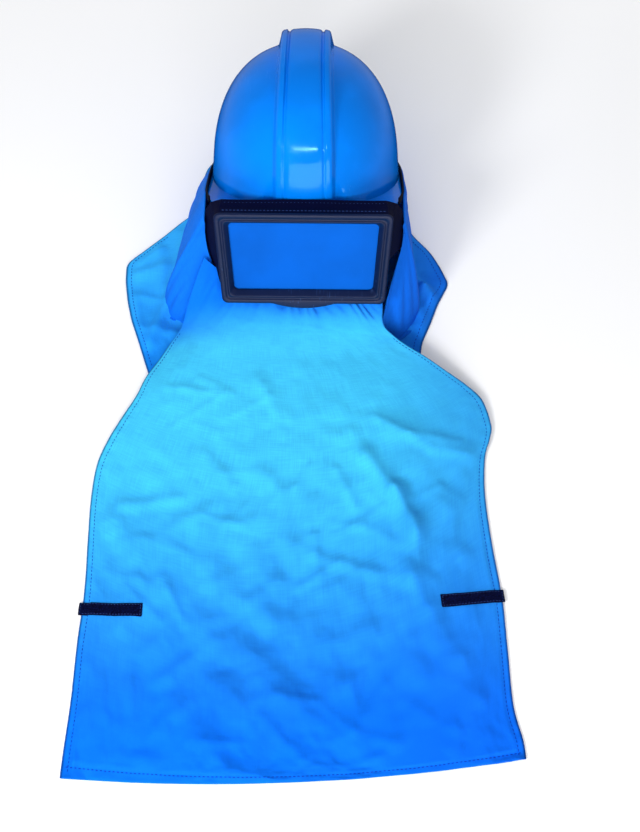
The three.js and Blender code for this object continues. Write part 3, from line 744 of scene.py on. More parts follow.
@dataclass(frozen=True)
class Palette:
    """Every finish of the hood."""

    shell: HardFinish = HardFinish(
        "shell_plastic", linear(3, 124, 240), linear(70, 150, 250), Grain.GLOSSY, 0.09, 0.15, 0.000004, 0.36
    )
    frame: HardFinish = HardFinish(
        "frame_plastic", linear(9, 27, 62), linear(64, 92, 140), Grain.MOULDED, 0.42, 0.3, 0.00005, 0.32
    )
    pane: HardFinish = HardFinish(
        "pane_film", linear(14, 90, 190), linear(40, 118, 220), Grain.GLOSSY, 0.5, 0.08, 0.000004, 0.1
    )
    edging: HardFinish = HardFinish(
        "edging_rubber", linear(4, 9, 28), linear(40, 46, 70), Grain.RUBBER, 0.62, 0.3, 0.00006, 0.2
    )
    strip: HardFinish = HardFinish(
        "strip_fabric", linear(2, 11, 46), linear(20, 40, 100), Grain.RUBBER, 0.7, 0.3, 0.0001, 0.12
    )
    thread: HardFinish = HardFinish(
        "thread", linear(12, 50, 165), linear(80, 110, 200), Grain.RUBBER, 0.7, 0.3, 0.0, 0.1
    )
    strip_thread: HardFinish = HardFinish(
        "strip_thread", linear(50, 72, 128), linear(100, 120, 180), Grain.RUBBER, 0.7, 0.3, 0.0, 0.2
    )
    # In each cloth finish the second tone is painted light, the lighter tone where the lamps light the cloth
    # most.
    bib: ClothFinish = ClothFinish(
        "bib_cotton", linear(14, 110, 236), linear(72, 204, 247), 0.0075, light_from=-0.39, light_to=0.0,
        upper_from=0.07, upper_to=0.125, edge_middle=0.23, edge_reach=0.23, side_shade=0.4,
    )
    cape: ClothFinish = ClothFinish(
        "cape_cotton", linear(16, 126, 242), linear(58, 178, 247), 0.0052, light_from=0.0, light_to=0.24,
        edge_reach=0.212, side_shade=1.0,
    )
    # The skirt's tones are darker than the bib's and the cape's: painted shade on the cloth that hangs under
    # the shell.
    skirt: ClothFinish = ClothFinish(
        "skirt_cotton", linear(9, 84, 200), linear(20, 112, 228), 0.0045, side_shade=0.7
    )
    tape: TapeFinish = TapeFinish("hook_tape", linear(3, 7, 36), linear(16, 26, 70))


@dataclass
class Shell:
    """The hard shell with its moulded ridge and brim."""

    placing: Placing
    half_width: float = 106.6
    front_reach: float = 117.0
    rear_reach: float = 125.0
    rise: float = 146.0
    wall: float = 2.6
    plan_power: float = 2.05
    turn_power: float = 0.755
    side_power: float = 2.65
    top_power: float = 2.4
    base_level: float = -0.6
    base_slope: float = 0.189
    brim_half_width: float = 109.0
    brim_front: float = 131.0
    brim_rear: float = 130.0
    brim_drop: float = 3.0
    brim_rounding: float = 0.6
    fillet: float = 0.65
    fillet_height: float = 0.22
    fillet_clear: tuple = (0.32, 0.5)
    ridge_crown: float = 16.0
    ridge_front: float = 4.5
    ridge_rear: float = 2.5
    ridge_power: float = 1.3
    ridge_centre: float = 15.0
    ridge_flanks: tuple = (0.1, 0.155, 0.298, 0.42)
    ridge_spread: float = 0.03
    ridge_form: tuple = (
        (0.0, 0.95), (0.135, 0.94), (0.158, 0.9), (0.172, 0.78), (0.183, 0.8), (0.2, 1.0),
        (0.238, 1.0), (0.258, 0.9), (0.27, 0.55), (0.29, 0.02), (0.32, 0.0), (1.0, 0.0),
    )

    def base(self, f: Array) -> Array:
        """Level of the shell's base, which rises towards the window side."""
        return self.base_level + self.base_slope * f

    def ridge_share(self, share: Array) -> Array:
        """Share of the ridge's height, the table with its corners rounded by a bell curve.

        Args:
            share: Share of half width from the middle, with its sign.

        Returns:
            Values from 0 to 1.
        """
        fine = np.linspace(0, 1, 2001)
        knots = np.array(self.ridge_form)
        form = np.interp(fine, knots[:, 0], knots[:, 1])
        spread = np.exp(-((np.linspace(-2.4, 2.4, 25)) ** 2) / 2)
        padded = np.concatenate([form[12:0:-1], form, form[-1:].repeat(12)])
        return np.interp(np.abs(share), fine, np.convolve(padded, spread / spread.sum(), "valid"))

    def point(self, line: Array, turn: Array, inset: float) -> tuple[Array, Array, Array]:
        """The shell's surface by a line across and a turn from the window side to the rear.

        In plan the reach shrinks by a power curve towards the sides. The height falls from the
        rise to the base by a power of the distance out, and the ridge stands off along the
        direction away from the middle.

        Args:
            line: Share of half width from -1 to 1.
            turn: 0 at the window side and pi at the rear.
            inset: How far inside the outer surface.

        Returns:
            Three arrays, x, forward and up.
        """
        reach = np.where(np.cos(turn) > 0, self.front_reach, self.rear_reach) - inset
        rise, top, end, foot = self.ridge_flanks
        near = ease(rise, top, np.abs(line)) * (1 - ease(end, foot, np.abs(line)))
        widening = self.ridge_spread * np.cos(turn) ** 2 - 0.85 * inset / self.half_width
        share = line + np.sign(line) * near * widening
        power = self.plan_power
        chord = np.maximum(0, 1 - np.abs(share) ** power) ** (1 / power)
        x = (self.half_width - inset) * share
        f = reach * chord * np.sign(np.cos(turn)) * np.abs(np.cos(turn)) ** self.turn_power
        plan = np.minimum(1, np.abs(share) ** power + np.abs(f / reach) ** power)
        height = np.maximum(0, 1 - plan ** (self.side_power / power)) ** (1 / self.top_power)
        u = mix(self.base(f), self.rise - inset, height)
        foot = self.fillet * np.maximum(0, 1 - height / self.fillet_height) ** 2
        foot = foot * ease(*self.fillet_clear, np.abs(line))
        wide = np.where(np.cos(turn) > 0, self.brim_front, self.brim_rear) / reach - 1
        x = x * (1 + foot * (self.brim_half_width / self.half_width - 1))
        f = f * (1 + foot * wide)
        end = np.where(np.cos(turn) > 0, self.ridge_front, self.ridge_rear)
        sine = np.maximum(np.sin(turn), 0)
        proud = self.ridge_share(line) * mix(end, self.ridge_crown, sine**self.ridge_power)
        above = u - self.ridge_centre
        away = np.hypot(f, above)
        return x, f + proud * f / away, u + proud * above / away

    def brim(self, share: Array, front: bool, outset: float) -> tuple[Array, Array, Array]:
        """The brim's outer edge, a power curve squarer at the window side than at the rear.

        Args:
            share: The sine of the turn from the middle to the side, with its sign.
            front: Whether it is the half at the window side.
            outset: How far outside the edge.

        Returns:
            Three arrays, x, forward and up.
        """
        sine = np.abs(share) ** (self.plan_power / 2)
        cosine = np.sqrt(np.maximum(0, 1 - np.abs(share) ** self.plan_power))
        power = 2 / (5.0 if front else 2.4)
        x = np.sign(share) * self.brim_half_width * sine**power
        f = (self.brim_front if front else -self.brim_rear) * cosine**power
        scale = 1 + outset / np.hypot(x, f)
        return x * scale, f * scale, self.base(f) - self.brim_drop

    def edge_track(self, reach: float, count: int) -> tuple[Array, Array]:
        """The brim's edge behind a reach, from +X round the rear to -X, and its outward turn.

        Args:
            reach: How far forward the line starts.
            count: How many points to give.

        Returns:
            Points as x, forward and up, and unit directions in plan.
        """
        share = np.sin(np.linspace(0, math.pi / 2, 241))
        front = np.stack(self.brim(share, True, self.brim_rounding), axis=-1)
        rear = np.stack(self.brim(share[::-1], False, self.brim_rounding), axis=-1)
        right = np.concatenate([front[front[:, 1] <= reach], rear[1:]])
        whole = np.concatenate([right, (right * [-1, 1, 1])[-2::-1]])
        track = resample(whole, count)
        step = np.gradient(track[:, :2], axis=0)
        normal = unit(np.stack([step[:, 1], -step[:, 0]], axis=-1))
        sign = np.sign((normal * track[:, :2]).sum(axis=1, keepdims=True))
        return track, normal * sign

    def build(self, material: Material) -> Piece:
        """Outer and inner surface with the rolled brim between them, as one closed wall.

        Args:
            material: The shell's material.

        Returns:
            The shell.
        """
        half = np.concatenate(
            [
                np.linspace(0, 0.13, 8), np.linspace(0.135, 0.33, 46), np.linspace(0.355, 0.9, 22),
                [0.92, 0.938, 0.953, 0.965, 0.975, 0.983, 0.989, 0.994, 0.9975, 1.0],
            ]
        )
        line = np.concatenate([-half[:0:-1], half])
        turns = math.pi * np.linspace(0, 1, 91)
        lines, angles = np.meshgrid(line, turns)
        body = Surface()
        outer = self.placing.world(*self.point(lines, angles, 0.0))
        inner = self.placing.world(*self.point(lines, angles, self.wall))
        body.grid(outer)
        body.grid(inner, flip=True)
        outer_ring = np.concatenate([outer[0], outer[-1, -2::-1]])
        inner_ring = np.concatenate([inner[0], inner[-1, -2::-1]])

        def edge(outset: float, drop: float) -> Array:
            """The brim's edge all round, moved out and down.

            Args:
                outset: How far out.
                drop: How far down.

            Returns:
                The points.
            """
            ends = [self.brim(line, True, outset), self.brim(line[-2::-1], False, outset)]
            x, f, u = (np.concatenate([a, b]) for a, b in zip(*ends))
            return self.placing.world(x, f, u - drop)

        down = self.placing.turn(0.0, 0.0, -1.0)
        top, low = edge(0, 0), edge(0, self.wall)
        rings = [outer_ring]
        for share, drop in ((0.06, 0.1), (0.16, 0.35), (0.5, 0.6), (0.8, 0.3)):
            rings.append(mix(outer_ring, top, share) + down * drop)
        rings += [top, edge(0.42, 0.38), edge(self.brim_rounding, 1.3), edge(0.42, 2.22), low]
        rings += [mix(inner_ring, low, 0.5) + down, inner_ring]
        body.grid(np.stack(rings), flip=True)
        return dress(body.build("shell_moulding", 30), material, "shell", "helmet_shell")


@dataclass
class RimBand:
    """The soft edging on the brim, open at the window side."""

    shell: Shell
    start: float = 101.0
    outset: float = 0.6
    thickness: float = 1.8
    height: float = 8.0
    rise: float = 1.0

    def build(self, material: Material) -> Piece:
        """A rounded flat section carried along the brim's edge and closed at both ends.

        Args:
            material: The edging's material.

        Returns:
            The edging.
        """
        track, normal = self.shell.edge_track(self.start, 221)
        low = np.array([self.outset, self.rise - self.shell.wall])
        sides = low + np.array([[0, 0], [1, 0], [1, 1], [0, 1]]) * [self.thickness, self.height]
        middle = (sides + np.roll(sides, -1, axis=0)) / 2
        section = rounded(np.stack([sides, middle], axis=1).reshape(-1, 2), 2)
        section = np.concatenate([section, section[:1]])
        x = track[:, None, 0] + normal[:, None, 0] * section[:, 0]
        f = track[:, None, 1] + normal[:, None, 1] * section[:, 0]
        tube = self.shell.placing.world(x, f, track[:, None, 2] + section[:, 1])
        ends = [np.repeat(tube[k].mean(axis=0)[None, None], len(section), axis=1) for k in (0, -1)]
        body = Surface()
        body.grid(np.concatenate([ends[0], tube, ends[1]]))
        return dress(body.build("rim_edging"), material, "edging", "rim_band")


@dataclass
class Window:
    """The window frame with its lip, groove and bevel, and the pane behind it."""

    placing: Placing
    top_width: float = 195.5
    bottom_width: float = 181.5
    top: float = 24.7
    height: float = 112.6
    face: float = 148.2
    depth: float = 16.2
    corner: float = 7.0
    border: float = 14.5
    lip: float = 3.0
    tab_half: float = 35.0
    tab_drop: float = 6.0
    pane: float = 1.5
    seat: float = 4.0
    seat_depth: float = 8.8
    gap: float = 0.35

    def half(self, u: Array) -> Array:
        """Half the frame's width at a level."""
        return mix(self.bottom_width, self.top_width, (u - self.top + self.height) / self.height) / 2

    def outline(self, inset: float) -> Array:
        """Closed outline some way inside the outer edge, four arcs and straight runs between.

        Args:
            inset: Distance inside the outer edge.

        Returns:
            Points [x, u], the first one again at the end.
        """
        top, bottom = self.top - inset, self.top - self.height + inset
        radius = self.corner - min(inset, 5) * 0.4
        parts = []
        for side, level, start in ((1, top, 0), (-1, top, 1), (-1, bottom, 2), (1, bottom, 3)):
            angle = (start + np.linspace(0, 1, 11)) * math.pi / 2
            u = level - radius if start < 2 else level + radius
            at = side * (self.half(u) - inset - radius)
            parts.append(np.stack([at + radius * np.cos(angle), u + radius * np.sin(angle)], axis=-1))
        tab = self.tab_drop if inset <= self.lip + 0.01 else 0.0
        run = np.linspace(0, 1, 41)[1:-1, None]
        lines = []
        for first, after in ((0, 1), (1, 2), (2, 3), (3, 0)):
            straight = mix(parts[first][-1], parts[after][0], run)
            if first == 2:
                straight[:, 1] -= tab * np.maximum(0, 1 - (straight[:, 0] / self.tab_half) ** 2)
            lines += [parts[first], straight]
        loop = np.concatenate(lines)
        return np.concatenate([loop, loop[:1]])

    def profile(self) -> Array:
        """The frame's section, with its corners rounded.

        Returns:
            Points as [inset, behind the face].
        """
        border, seat, depth, lip = self.border, self.border - self.seat, self.depth, self.lip
        corners = [
            (lip, depth), (lip, 9.0), (lip, 3.4), (1.5, 3.4), (0, 3.4), (0, 1.6), (0.7, 0.5), (2, 0),
            (3.6, 0), (5, 0.3), (5.9, 1.5), (7, 1.7), (8, 1.4), (8.6, 0.7), (9.5, 0.6), (10.4, 1.2),
            (border - 0.4, 6.4), (border, 7.2), (border, self.seat_depth), (seat, self.seat_depth),
            (seat, 12.0), (seat, depth), (mix(seat, lip, 0.5), depth),
        ]
        return rounded(np.array(corners, float), 1)

    def build(self, frame_material: Material, pane_material: Material) -> None:
        """The frame as its section carried round the outline, and the flat pane.

        Args:
            frame_material: The frame's material.
            pane_material: The pane's material.
        """
        section = self.profile()
        section = np.concatenate([section, section[:1]])
        rows = []
        for inset, behind in section:
            outline = self.outline(inset)
            rows.append(self.placing.world(outline[:, 0], self.face - behind, outline[:, 1]))
        body = Surface()
        body.grid(np.stack(rows))
        dress(body.build("window_frame", 40), frame_material, "window_frame", "visor_frame")
        outline = self.outline(self.border - self.seat + self.gap)
        centre = np.array([0, self.top - self.height / 2])
        middle = np.broadcast_to(centre, outline.shape)
        inward = unit(outline - centre)
        front = self.face - self.seat_depth - self.gap
        rings = [(middle, 0.0), (outline - inward * 6, 0.0), (outline - inward * 0.4, 0.0), (outline, 0.3)]
        rings += [(outline, 1.2), (outline - inward * 0.4, self.pane), (middle, self.pane)]
        loops = [self.placing.world(ring[:, 0], front - back, ring[:, 1]) for ring, back in rings]
        body = Surface()
        body.grid(np.stack(loops))
        dress(body.build("window_pane"), pane_material, "pane", "visor_lens")


@dataclass
class Strip:
    """The dark strip that joins the window frame to the shell, stitched along the top."""

    window: Window
    thickness: float = 2.0
    side_rear: tuple = (
        (0.985, 0.775, -0.66), (1.03, 0.73, -0.54), (1.09, 0.69, -0.36), (1.112, 0.668, -0.17),
        (1.107, 0.672, -0.03), (1.088, 0.7, 0.065), (1.056, 0.733, 0.125), (1.03, 0.758, 0.175),
    )
    foot_level: float = 0.88
    corner_far: tuple = (88.0, 118.5)
    roof_half: float = 87.0
    roof_reach: tuple = (122.8, 119.0)
    right_end: float = 0.78
    roof_level: float = 25.2
    roof_arch: float = 2.6

    def rear(self) -> Array:
        """The strip's rear edge on one side, from the bottom up, as x, forward and up."""
        window = self.window
        return np.array(self.side_rear) * [window.top_width / 2, window.face, window.height]

    def stations(self) -> Array:
        """The strip's run, from the left foot over the top to the right one.

        Returns:
            Rows of near point, far point and outward turn.
        """
        window, rear = self.window, self.rear()
        hug, front = window.lip - window.gap, window.face - 3.4 - window.gap
        radius = window.corner - window.lip * 0.4 + window.gap
        high = window.top - hug
        rows = []
        for k, far in enumerate(rear):
            share = (k / (len(rear) - 1)) ** 0.8
            u = mix(window.top - window.height * self.foot_level, high - radius, share)
            rows.append([window.half(u) - hug, front, u, *far, 1, 0])
        for share in (0.25, 0.5, 0.75):
            angle = share * math.pi / 2
            x = window.half(window.top) - hug - radius + radius * math.cos(angle)
            far = mix(rear[-1], np.array([*self.corner_far, self.roof_level]), share)
            cosine, sine = math.cos(angle), math.sin(angle)
            rows.append([x, front, high - radius + radius * sine, *far, cosine, sine])
        for share in (1, 0.75, 0.5, 0.25, 0):
            x = share * (window.half(window.top) - hug - radius)
            level = self.roof_level + self.roof_arch * (1 - share**2)
            reach = mix(*self.roof_reach, share**4)
            rows.append([x, front, high, share * self.roof_half, reach, level, 0, 1])
        half = np.array(rows)
        mirrored = half[-2::-1]
        left = half * [-1, 1, 1, -1, 1, 1, -1, 1]
        skipped = round((1 - self.right_end) * len(rear))
        return np.concatenate([left, mirrored[: len(mirrored) - skipped]])

    def build(self, material: Material, thread: Material) -> None:
        """A wall carried along the frame's sides and top, and the two rows of stitches on its top.

        Args:
            material: The strip's material.
            thread: The stitches' material.
        """
        window = self.window
        table = self.stations()
        fine = smooth_rows(table, np.linspace(0, 1, 261))
        near, far, out = fine[:, :3], fine[:, 3:6], unit(fine[:, 6:])
        hugging = near * [1, 0, 1] + [0, window.face - window.depth - window.gap, 0]
        shares = np.array([0, 0.03, 0.1, 0.2, 0.3, 0.4, 0.5, 0.6, 0.75, 0.9, 0.97, 1])[:, None, None]
        behind = mix(far, hugging, np.minimum(1, shares / 0.6))
        base = mix(behind, near, np.maximum(0, (shares - 0.6) / 0.4))

        def level(outset: Array) -> Array:
            """The strip's grid, moved out.

            Args:
                outset: The distance at each place.

            Returns:
                The points.
            """
            return window.placing.world(
                base[..., 0] + out[:, 0] * outset, base[..., 1], base[..., 2] + out[:, 1] * outset
            )

        swell = 0.25 * np.sin(math.pi * np.clip(shares[..., 0], 0, 1))
        upper, lower = level(self.thickness + swell), level(0.0)
        along = np.linspace(0, 460, 261)
        places = np.stack(np.meshgrid(along, shares[:, 0, 0] * 28), axis=-1)
        body = Surface()
        body.wall(upper, lower, places)
        dress(body.build("window_strip", 40), material, "flange", "visor_flange")
        keep = (np.abs(fine[:, 0]) < 90) & (fine[:, 2] > 14)
        rows = (("strip_stitches", 8, (2.6, 1.1, 0.9)), ("strip_stitches_rear", 3, (1.6, 0.5, 0.4)))
        for name, row, size in rows:
            path = mix(upper[row], upper[row + 1], 0.4)[keep]
            side = window.placing.turn(out[keep, 0], 0.0, out[keep, 1])
            dress(stitch_run(name, path + side * 0.1, side, 4.0, size), thread, "flange")


@dataclass(frozen=True)
class Cut:
    """The flat size a sheet of cloth was cut to, in millimetres, and its flat area."""

    width: float
    length: float
    area: float

    def declare(self, piece: Piece, held: str, rests_on: list[str], extras: list[Piece]) -> None:
        """Does nothing: how a piece of cloth is held and what it measures flat are not recorded.

        Args:
            piece: The sheet of cloth. Not used.
            held: How it is held. Not used.
            rests_on: What it lies on. Not used.
            extras: Pieces sewn to it. Not used.
        """


@dataclass
class Cape:
    """The back cape, laid flat under everything."""

    half_width: float = 212.0
    length: float = 764.0
    rear: float = 398.0
    thickness: float = 1.8
    cut: Cut = Cut(424.0, 764.0, 268600.0)
    rows: tuple = (
        (0, -0.26, 0.26), (0.013, -0.38, 0.36), (0.032, -0.5, 0.47), (0.06, -0.58, 0.53),
        (0.094, -0.61, 0.545), (0.13, -0.632, 0.555), (0.153, -0.64, 0.56), (0.172, -0.715, 0.565),
        (0.195, -0.79, 0.61), (0.225, -0.9, 0.7), (0.252, -1, 0.75), (0.285, -0.997, 0.797),
        (0.324, -0.975, 0.731), (0.358, -0.945, 0.69), (0.393, -0.9, 0.64), (0.435, -0.85, 0.62),
        (0.475, -0.8, 0.8), (0.515, -0.87, 0.89), (0.56, -0.94, 0.865), (0.64, -0.975, 0.855),
        (0.75, -0.97, 0.9), (0.88, -0.975, 0.93), (1, -0.985, 0.95),
    )
    wing_folds: tuple = (
        (-140, 250, -150, 170, 3.0, 7), (-152, 168, -178, 92, 3.5, 8), (-196, 190, -165, 200, 2.0, 9),
        (118, 193, 139, 167, 5.0, 7), (139, 167, 158, 148, 4.0, 8), (128, 150, 142, 108, 2.5, 8),
        (-200, 150, -188, 100, 1.6, 7), (-172, 225, -196, 206, 1.6, 6),
    )

    def surface(self, across: Array, share: Array) -> Array:
        """Point by a share across from -1 to 1 and a share down the length.

        The edges come from the table, the level is the cloth's thickness, and where nothing lies
        on the cape, low folds and crumpling are added to it.

        Args:
            across: -1 at the left edge and 1 at the right one.
            share: 0 at the rear and 1 at the hem.

        Returns:
            The points.
        """
        table = np.array(self.rows)
        fine = np.linspace(0, 1, 400)
        left, right = (np.interp(fine, table[:, 0], table[:, k]) for k in (1, 2))
        soft = np.ones(7) / 7
        left, right = (np.convolve(np.pad(v, 3, "edge"), soft, "valid") for v in (left, right))
        left, right = (np.interp(share, fine, edge) for edge in (left, right))
        x = self.half_width * mix(left, right, (across + 1) / 2)
        y = self.rear - self.length * share
        bare = ease(20, 60, y) * (1 - ease(285, 330, y)) * ease(104, 122, np.abs(x))
        inside = ease(0, 0.06, 1 - np.abs(across))
        lift = np.maximum(0, 2.3 * fold_field(x, y, np.array(self.wing_folds)))
        lift += np.abs(fold_field(x, y, scattered_folds(3, 60, (-215, 165), (70, 300), 2.6)))
        lift += 0.6 * (wrinkle_field(x, y, 5, 46) + 1)
        hem = 0.35 * (1 - ease(7, 9, (1 - np.abs(across)) * np.abs(x)))
        z = self.thickness + 0.1 + bare * (inside * lift + hem)
        return np.stack([x, y, z], axis=-1)

    def build(self, material: Material, thread: Material) -> Piece:
        """The cape's wall and the stitched hems of its two wings.

        Args:
            material: The cloth's material.
            thread: The stitches' material.

        Returns:
            The cloth.
        """
        across, share = np.meshgrid(np.linspace(-1, 1, 121), np.linspace(0, 1, 241))
        upper = self.surface(across, share)
        lower = upper.copy()
        lower[..., 2] -= self.thickness
        flat = np.stack([across * self.half_width, share * self.length], axis=-1)
        body = Surface()
        body.wall(upper, lower, flat)
        piece = dress(body.build("cape_cloth", 60), material, "cape_cloth", "back_cape")
        extras = []
        for side, name in ((-1, "cape_stitches_left"), (1, "cape_stitches_right")):
            run = np.linspace(0.2, 0.44, 120)
            edge = self.surface(np.full(120, float(side)), run)
            half = np.abs(edge[:, 0])
            path = self.surface(side * (1 - 7.0 / half), run)
            path[:, 2] += 0.15
            stitches = stitch_run(name, path, upright(120), 4.4, (2.8, 0.8, 0.6))
            extras.append(dress(stitches, thread, "cape_cloth"))
        self.cut.declare(piece, "laid", ["floor"], extras)
        return piece


@dataclass
class Skirt:
    """The cloth that closes the space under the shell, from the edging down to the cape."""

    strip: Strip
    band: RimBand
    cape: Cape
    thickness: float = 1.6
    overlap: float = 3.0
    front_drop: float = 16.0
    lean: float = 6.0
    bulge: tuple[float, float] = (4.0, 9.0)
    flare: float = 40.0
    full_hang: float = 80.0
    gather: float = 1.5
    foot_level: float = 2.5
    cut: Cut = Cut(815.0, 150.0, 52600.0)
    foot_left: tuple = (
        (-0.655, 0.43), (-0.735, 0.47), (-0.77, 0.54), (-0.73, 0.63), (-0.69, 0.72), (-0.66, 0.81),
        (-0.64, 0.91), (-0.625, 1.0), (-0.6, 1.09), (-0.555, 1.18), (-0.49, 1.265), (-0.37, 1.345),
        (-0.2, 1.392), (0, 1.405),
    )
    foot_right: tuple = (
        (0.38, 0.315), (0.53, 0.38), (0.62, 0.49), (0.6, 0.61), (0.56, 0.72), (0.53, 0.81),
        (0.5, 0.91), (0.49, 1.0), (0.48, 1.09), (0.46, 1.18), (0.42, 1.265), (0.34, 1.345),
        (0.2, 1.392), (0, 1.405),
    )

    def top_line(self) -> Array:
        """The line it hangs from: down one side of the strip, along the edging and up the other side.

        Returns:
            Rows of x, forward and up on the shell, and the outward turn in plan.
        """
        shell = self.band.shell
        side = self.strip.rear()[:5] + [self.strip.thickness + 0.35, self.overlap, 0]
        side[0] += [-4, 9, -self.front_drop]
        track, normal = shell.edge_track(self.band.start, 35)
        track, normal = track[1:-1], normal[1:-1]
        outset = self.band.outset + self.band.thickness + 0.35
        level = self.overlap + self.band.rise - shell.wall
        hung = np.concatenate([track[:, :2] + normal * outset, track[:, 2:] + level], axis=1)
        top = np.concatenate([side, hung, side[::-1] * np.array([-1, 1, 1])])
        out = np.concatenate([np.tile([1.0, 0], (5, 1)), normal, np.tile([-1.0, 0], (5, 1))])
        return np.concatenate([top, out], axis=1)

    def foot_line(self, around: Array) -> Array:
        """The line where it meets the cape, from the two tables.

        Args:
            around: Share of the way round, from +X over the rear to -X.

        Returns:
            The points.
        """
        reach = np.where(around <= 0.5, around, 1 - around) * 2
        sides = [smooth_rows(np.array(table), reach) for table in (self.foot_right, self.foot_left)]
        foot = np.where((around <= 0.5)[:, None], *sides)
        foot = foot * [self.cape.half_width, self.band.shell.placing.rim_y]
        return np.concatenate([foot, np.full((len(around), 1), self.foot_level)], axis=1)

    def build(self, material: Material) -> Piece:
        """A wall from the top line to the foot line, bulging between, with gathers running down.

        The bulge is a sine down the cloth, times the square of the height it hangs. The gathers are
        two sines along the top line, eased in from the top and out at the foot.

        Args:
            material: The cloth's material.

        Returns:
            The cloth.
        """
        placing = self.band.shell.placing
        around = np.linspace(0, 1, 301)
        fine = smooth_rows(self.top_line(), around)
        start, end = placing.world(fine[:, 0], fine[:, 1], fine[:, 2]), self.foot_line(around)
        down = np.concatenate([np.linspace(0, 1, 46), [1.03, 1.06, 1.09, 1.12]])[:, None]
        share = np.minimum(down, 1)
        spread = unit(end[:, :2] - [0, placing.rim_y])
        push = np.maximum(0, self.lean - ((end - start)[:, :2] * spread).sum(axis=1))
        tall = np.minimum(1, (start[:, 2] - end[:, 2]) / self.full_hang)
        bulge = np.where(around <= 0.5, *self.bulge) * tall**2 * np.sin(math.pi * share)
        bulge = bulge + self.flare * np.maximum(0, down - 1) + push * share
        length = np.concatenate([[0], np.cumsum(np.linalg.norm(np.diff(start, axis=0), axis=1))])
        gather = np.sin(length / 6.1 + 1.5 * np.sin(length / 27)) + 0.6 * np.sin(length / 3.3 + 2 * share)
        bulge = bulge * ease(0, 0.06, np.minimum(around, 1 - around) + 0.004)
        eased = ease(0.08, 0.5, share) * (1 - 0.8 * ease(0.8, 1, share))
        bulge = bulge + gather * self.gather * tall * eased
        points = start + (end - start) * share[..., None]
        points[..., :2] += spread * bulge[..., None]
        points[..., 2] += 0.15
        normals = grid_normals(points)
        level = np.array([0, 0, 1.0])
        bent = mix(normals[:1], level, share[..., None])
        leaning = np.minimum(1, (start[:, 2] - 2) / 40)[:, None]
        flat = (np.maximum(0, down - 0.8) / 0.32)[..., None]
        lean = unit(mix(mix(bent, normals, leaning), level, flat))
        places = np.stack(np.broadcast_arrays(length, down * self.cut.length), axis=-1)
        body = Surface()
        body.wall(points + lean * self.thickness, points, places)
        piece = dress(body.build("skirt_cloth_piece", 60), material, "skirt_cloth", "neck_skirt")
        LOG.info("skirt: %.0f mm round its upper edge", length[-1])
        self.cut.declare(piece, "gathered", ["cape_cloth", "rim_edging"], [])
        return piece


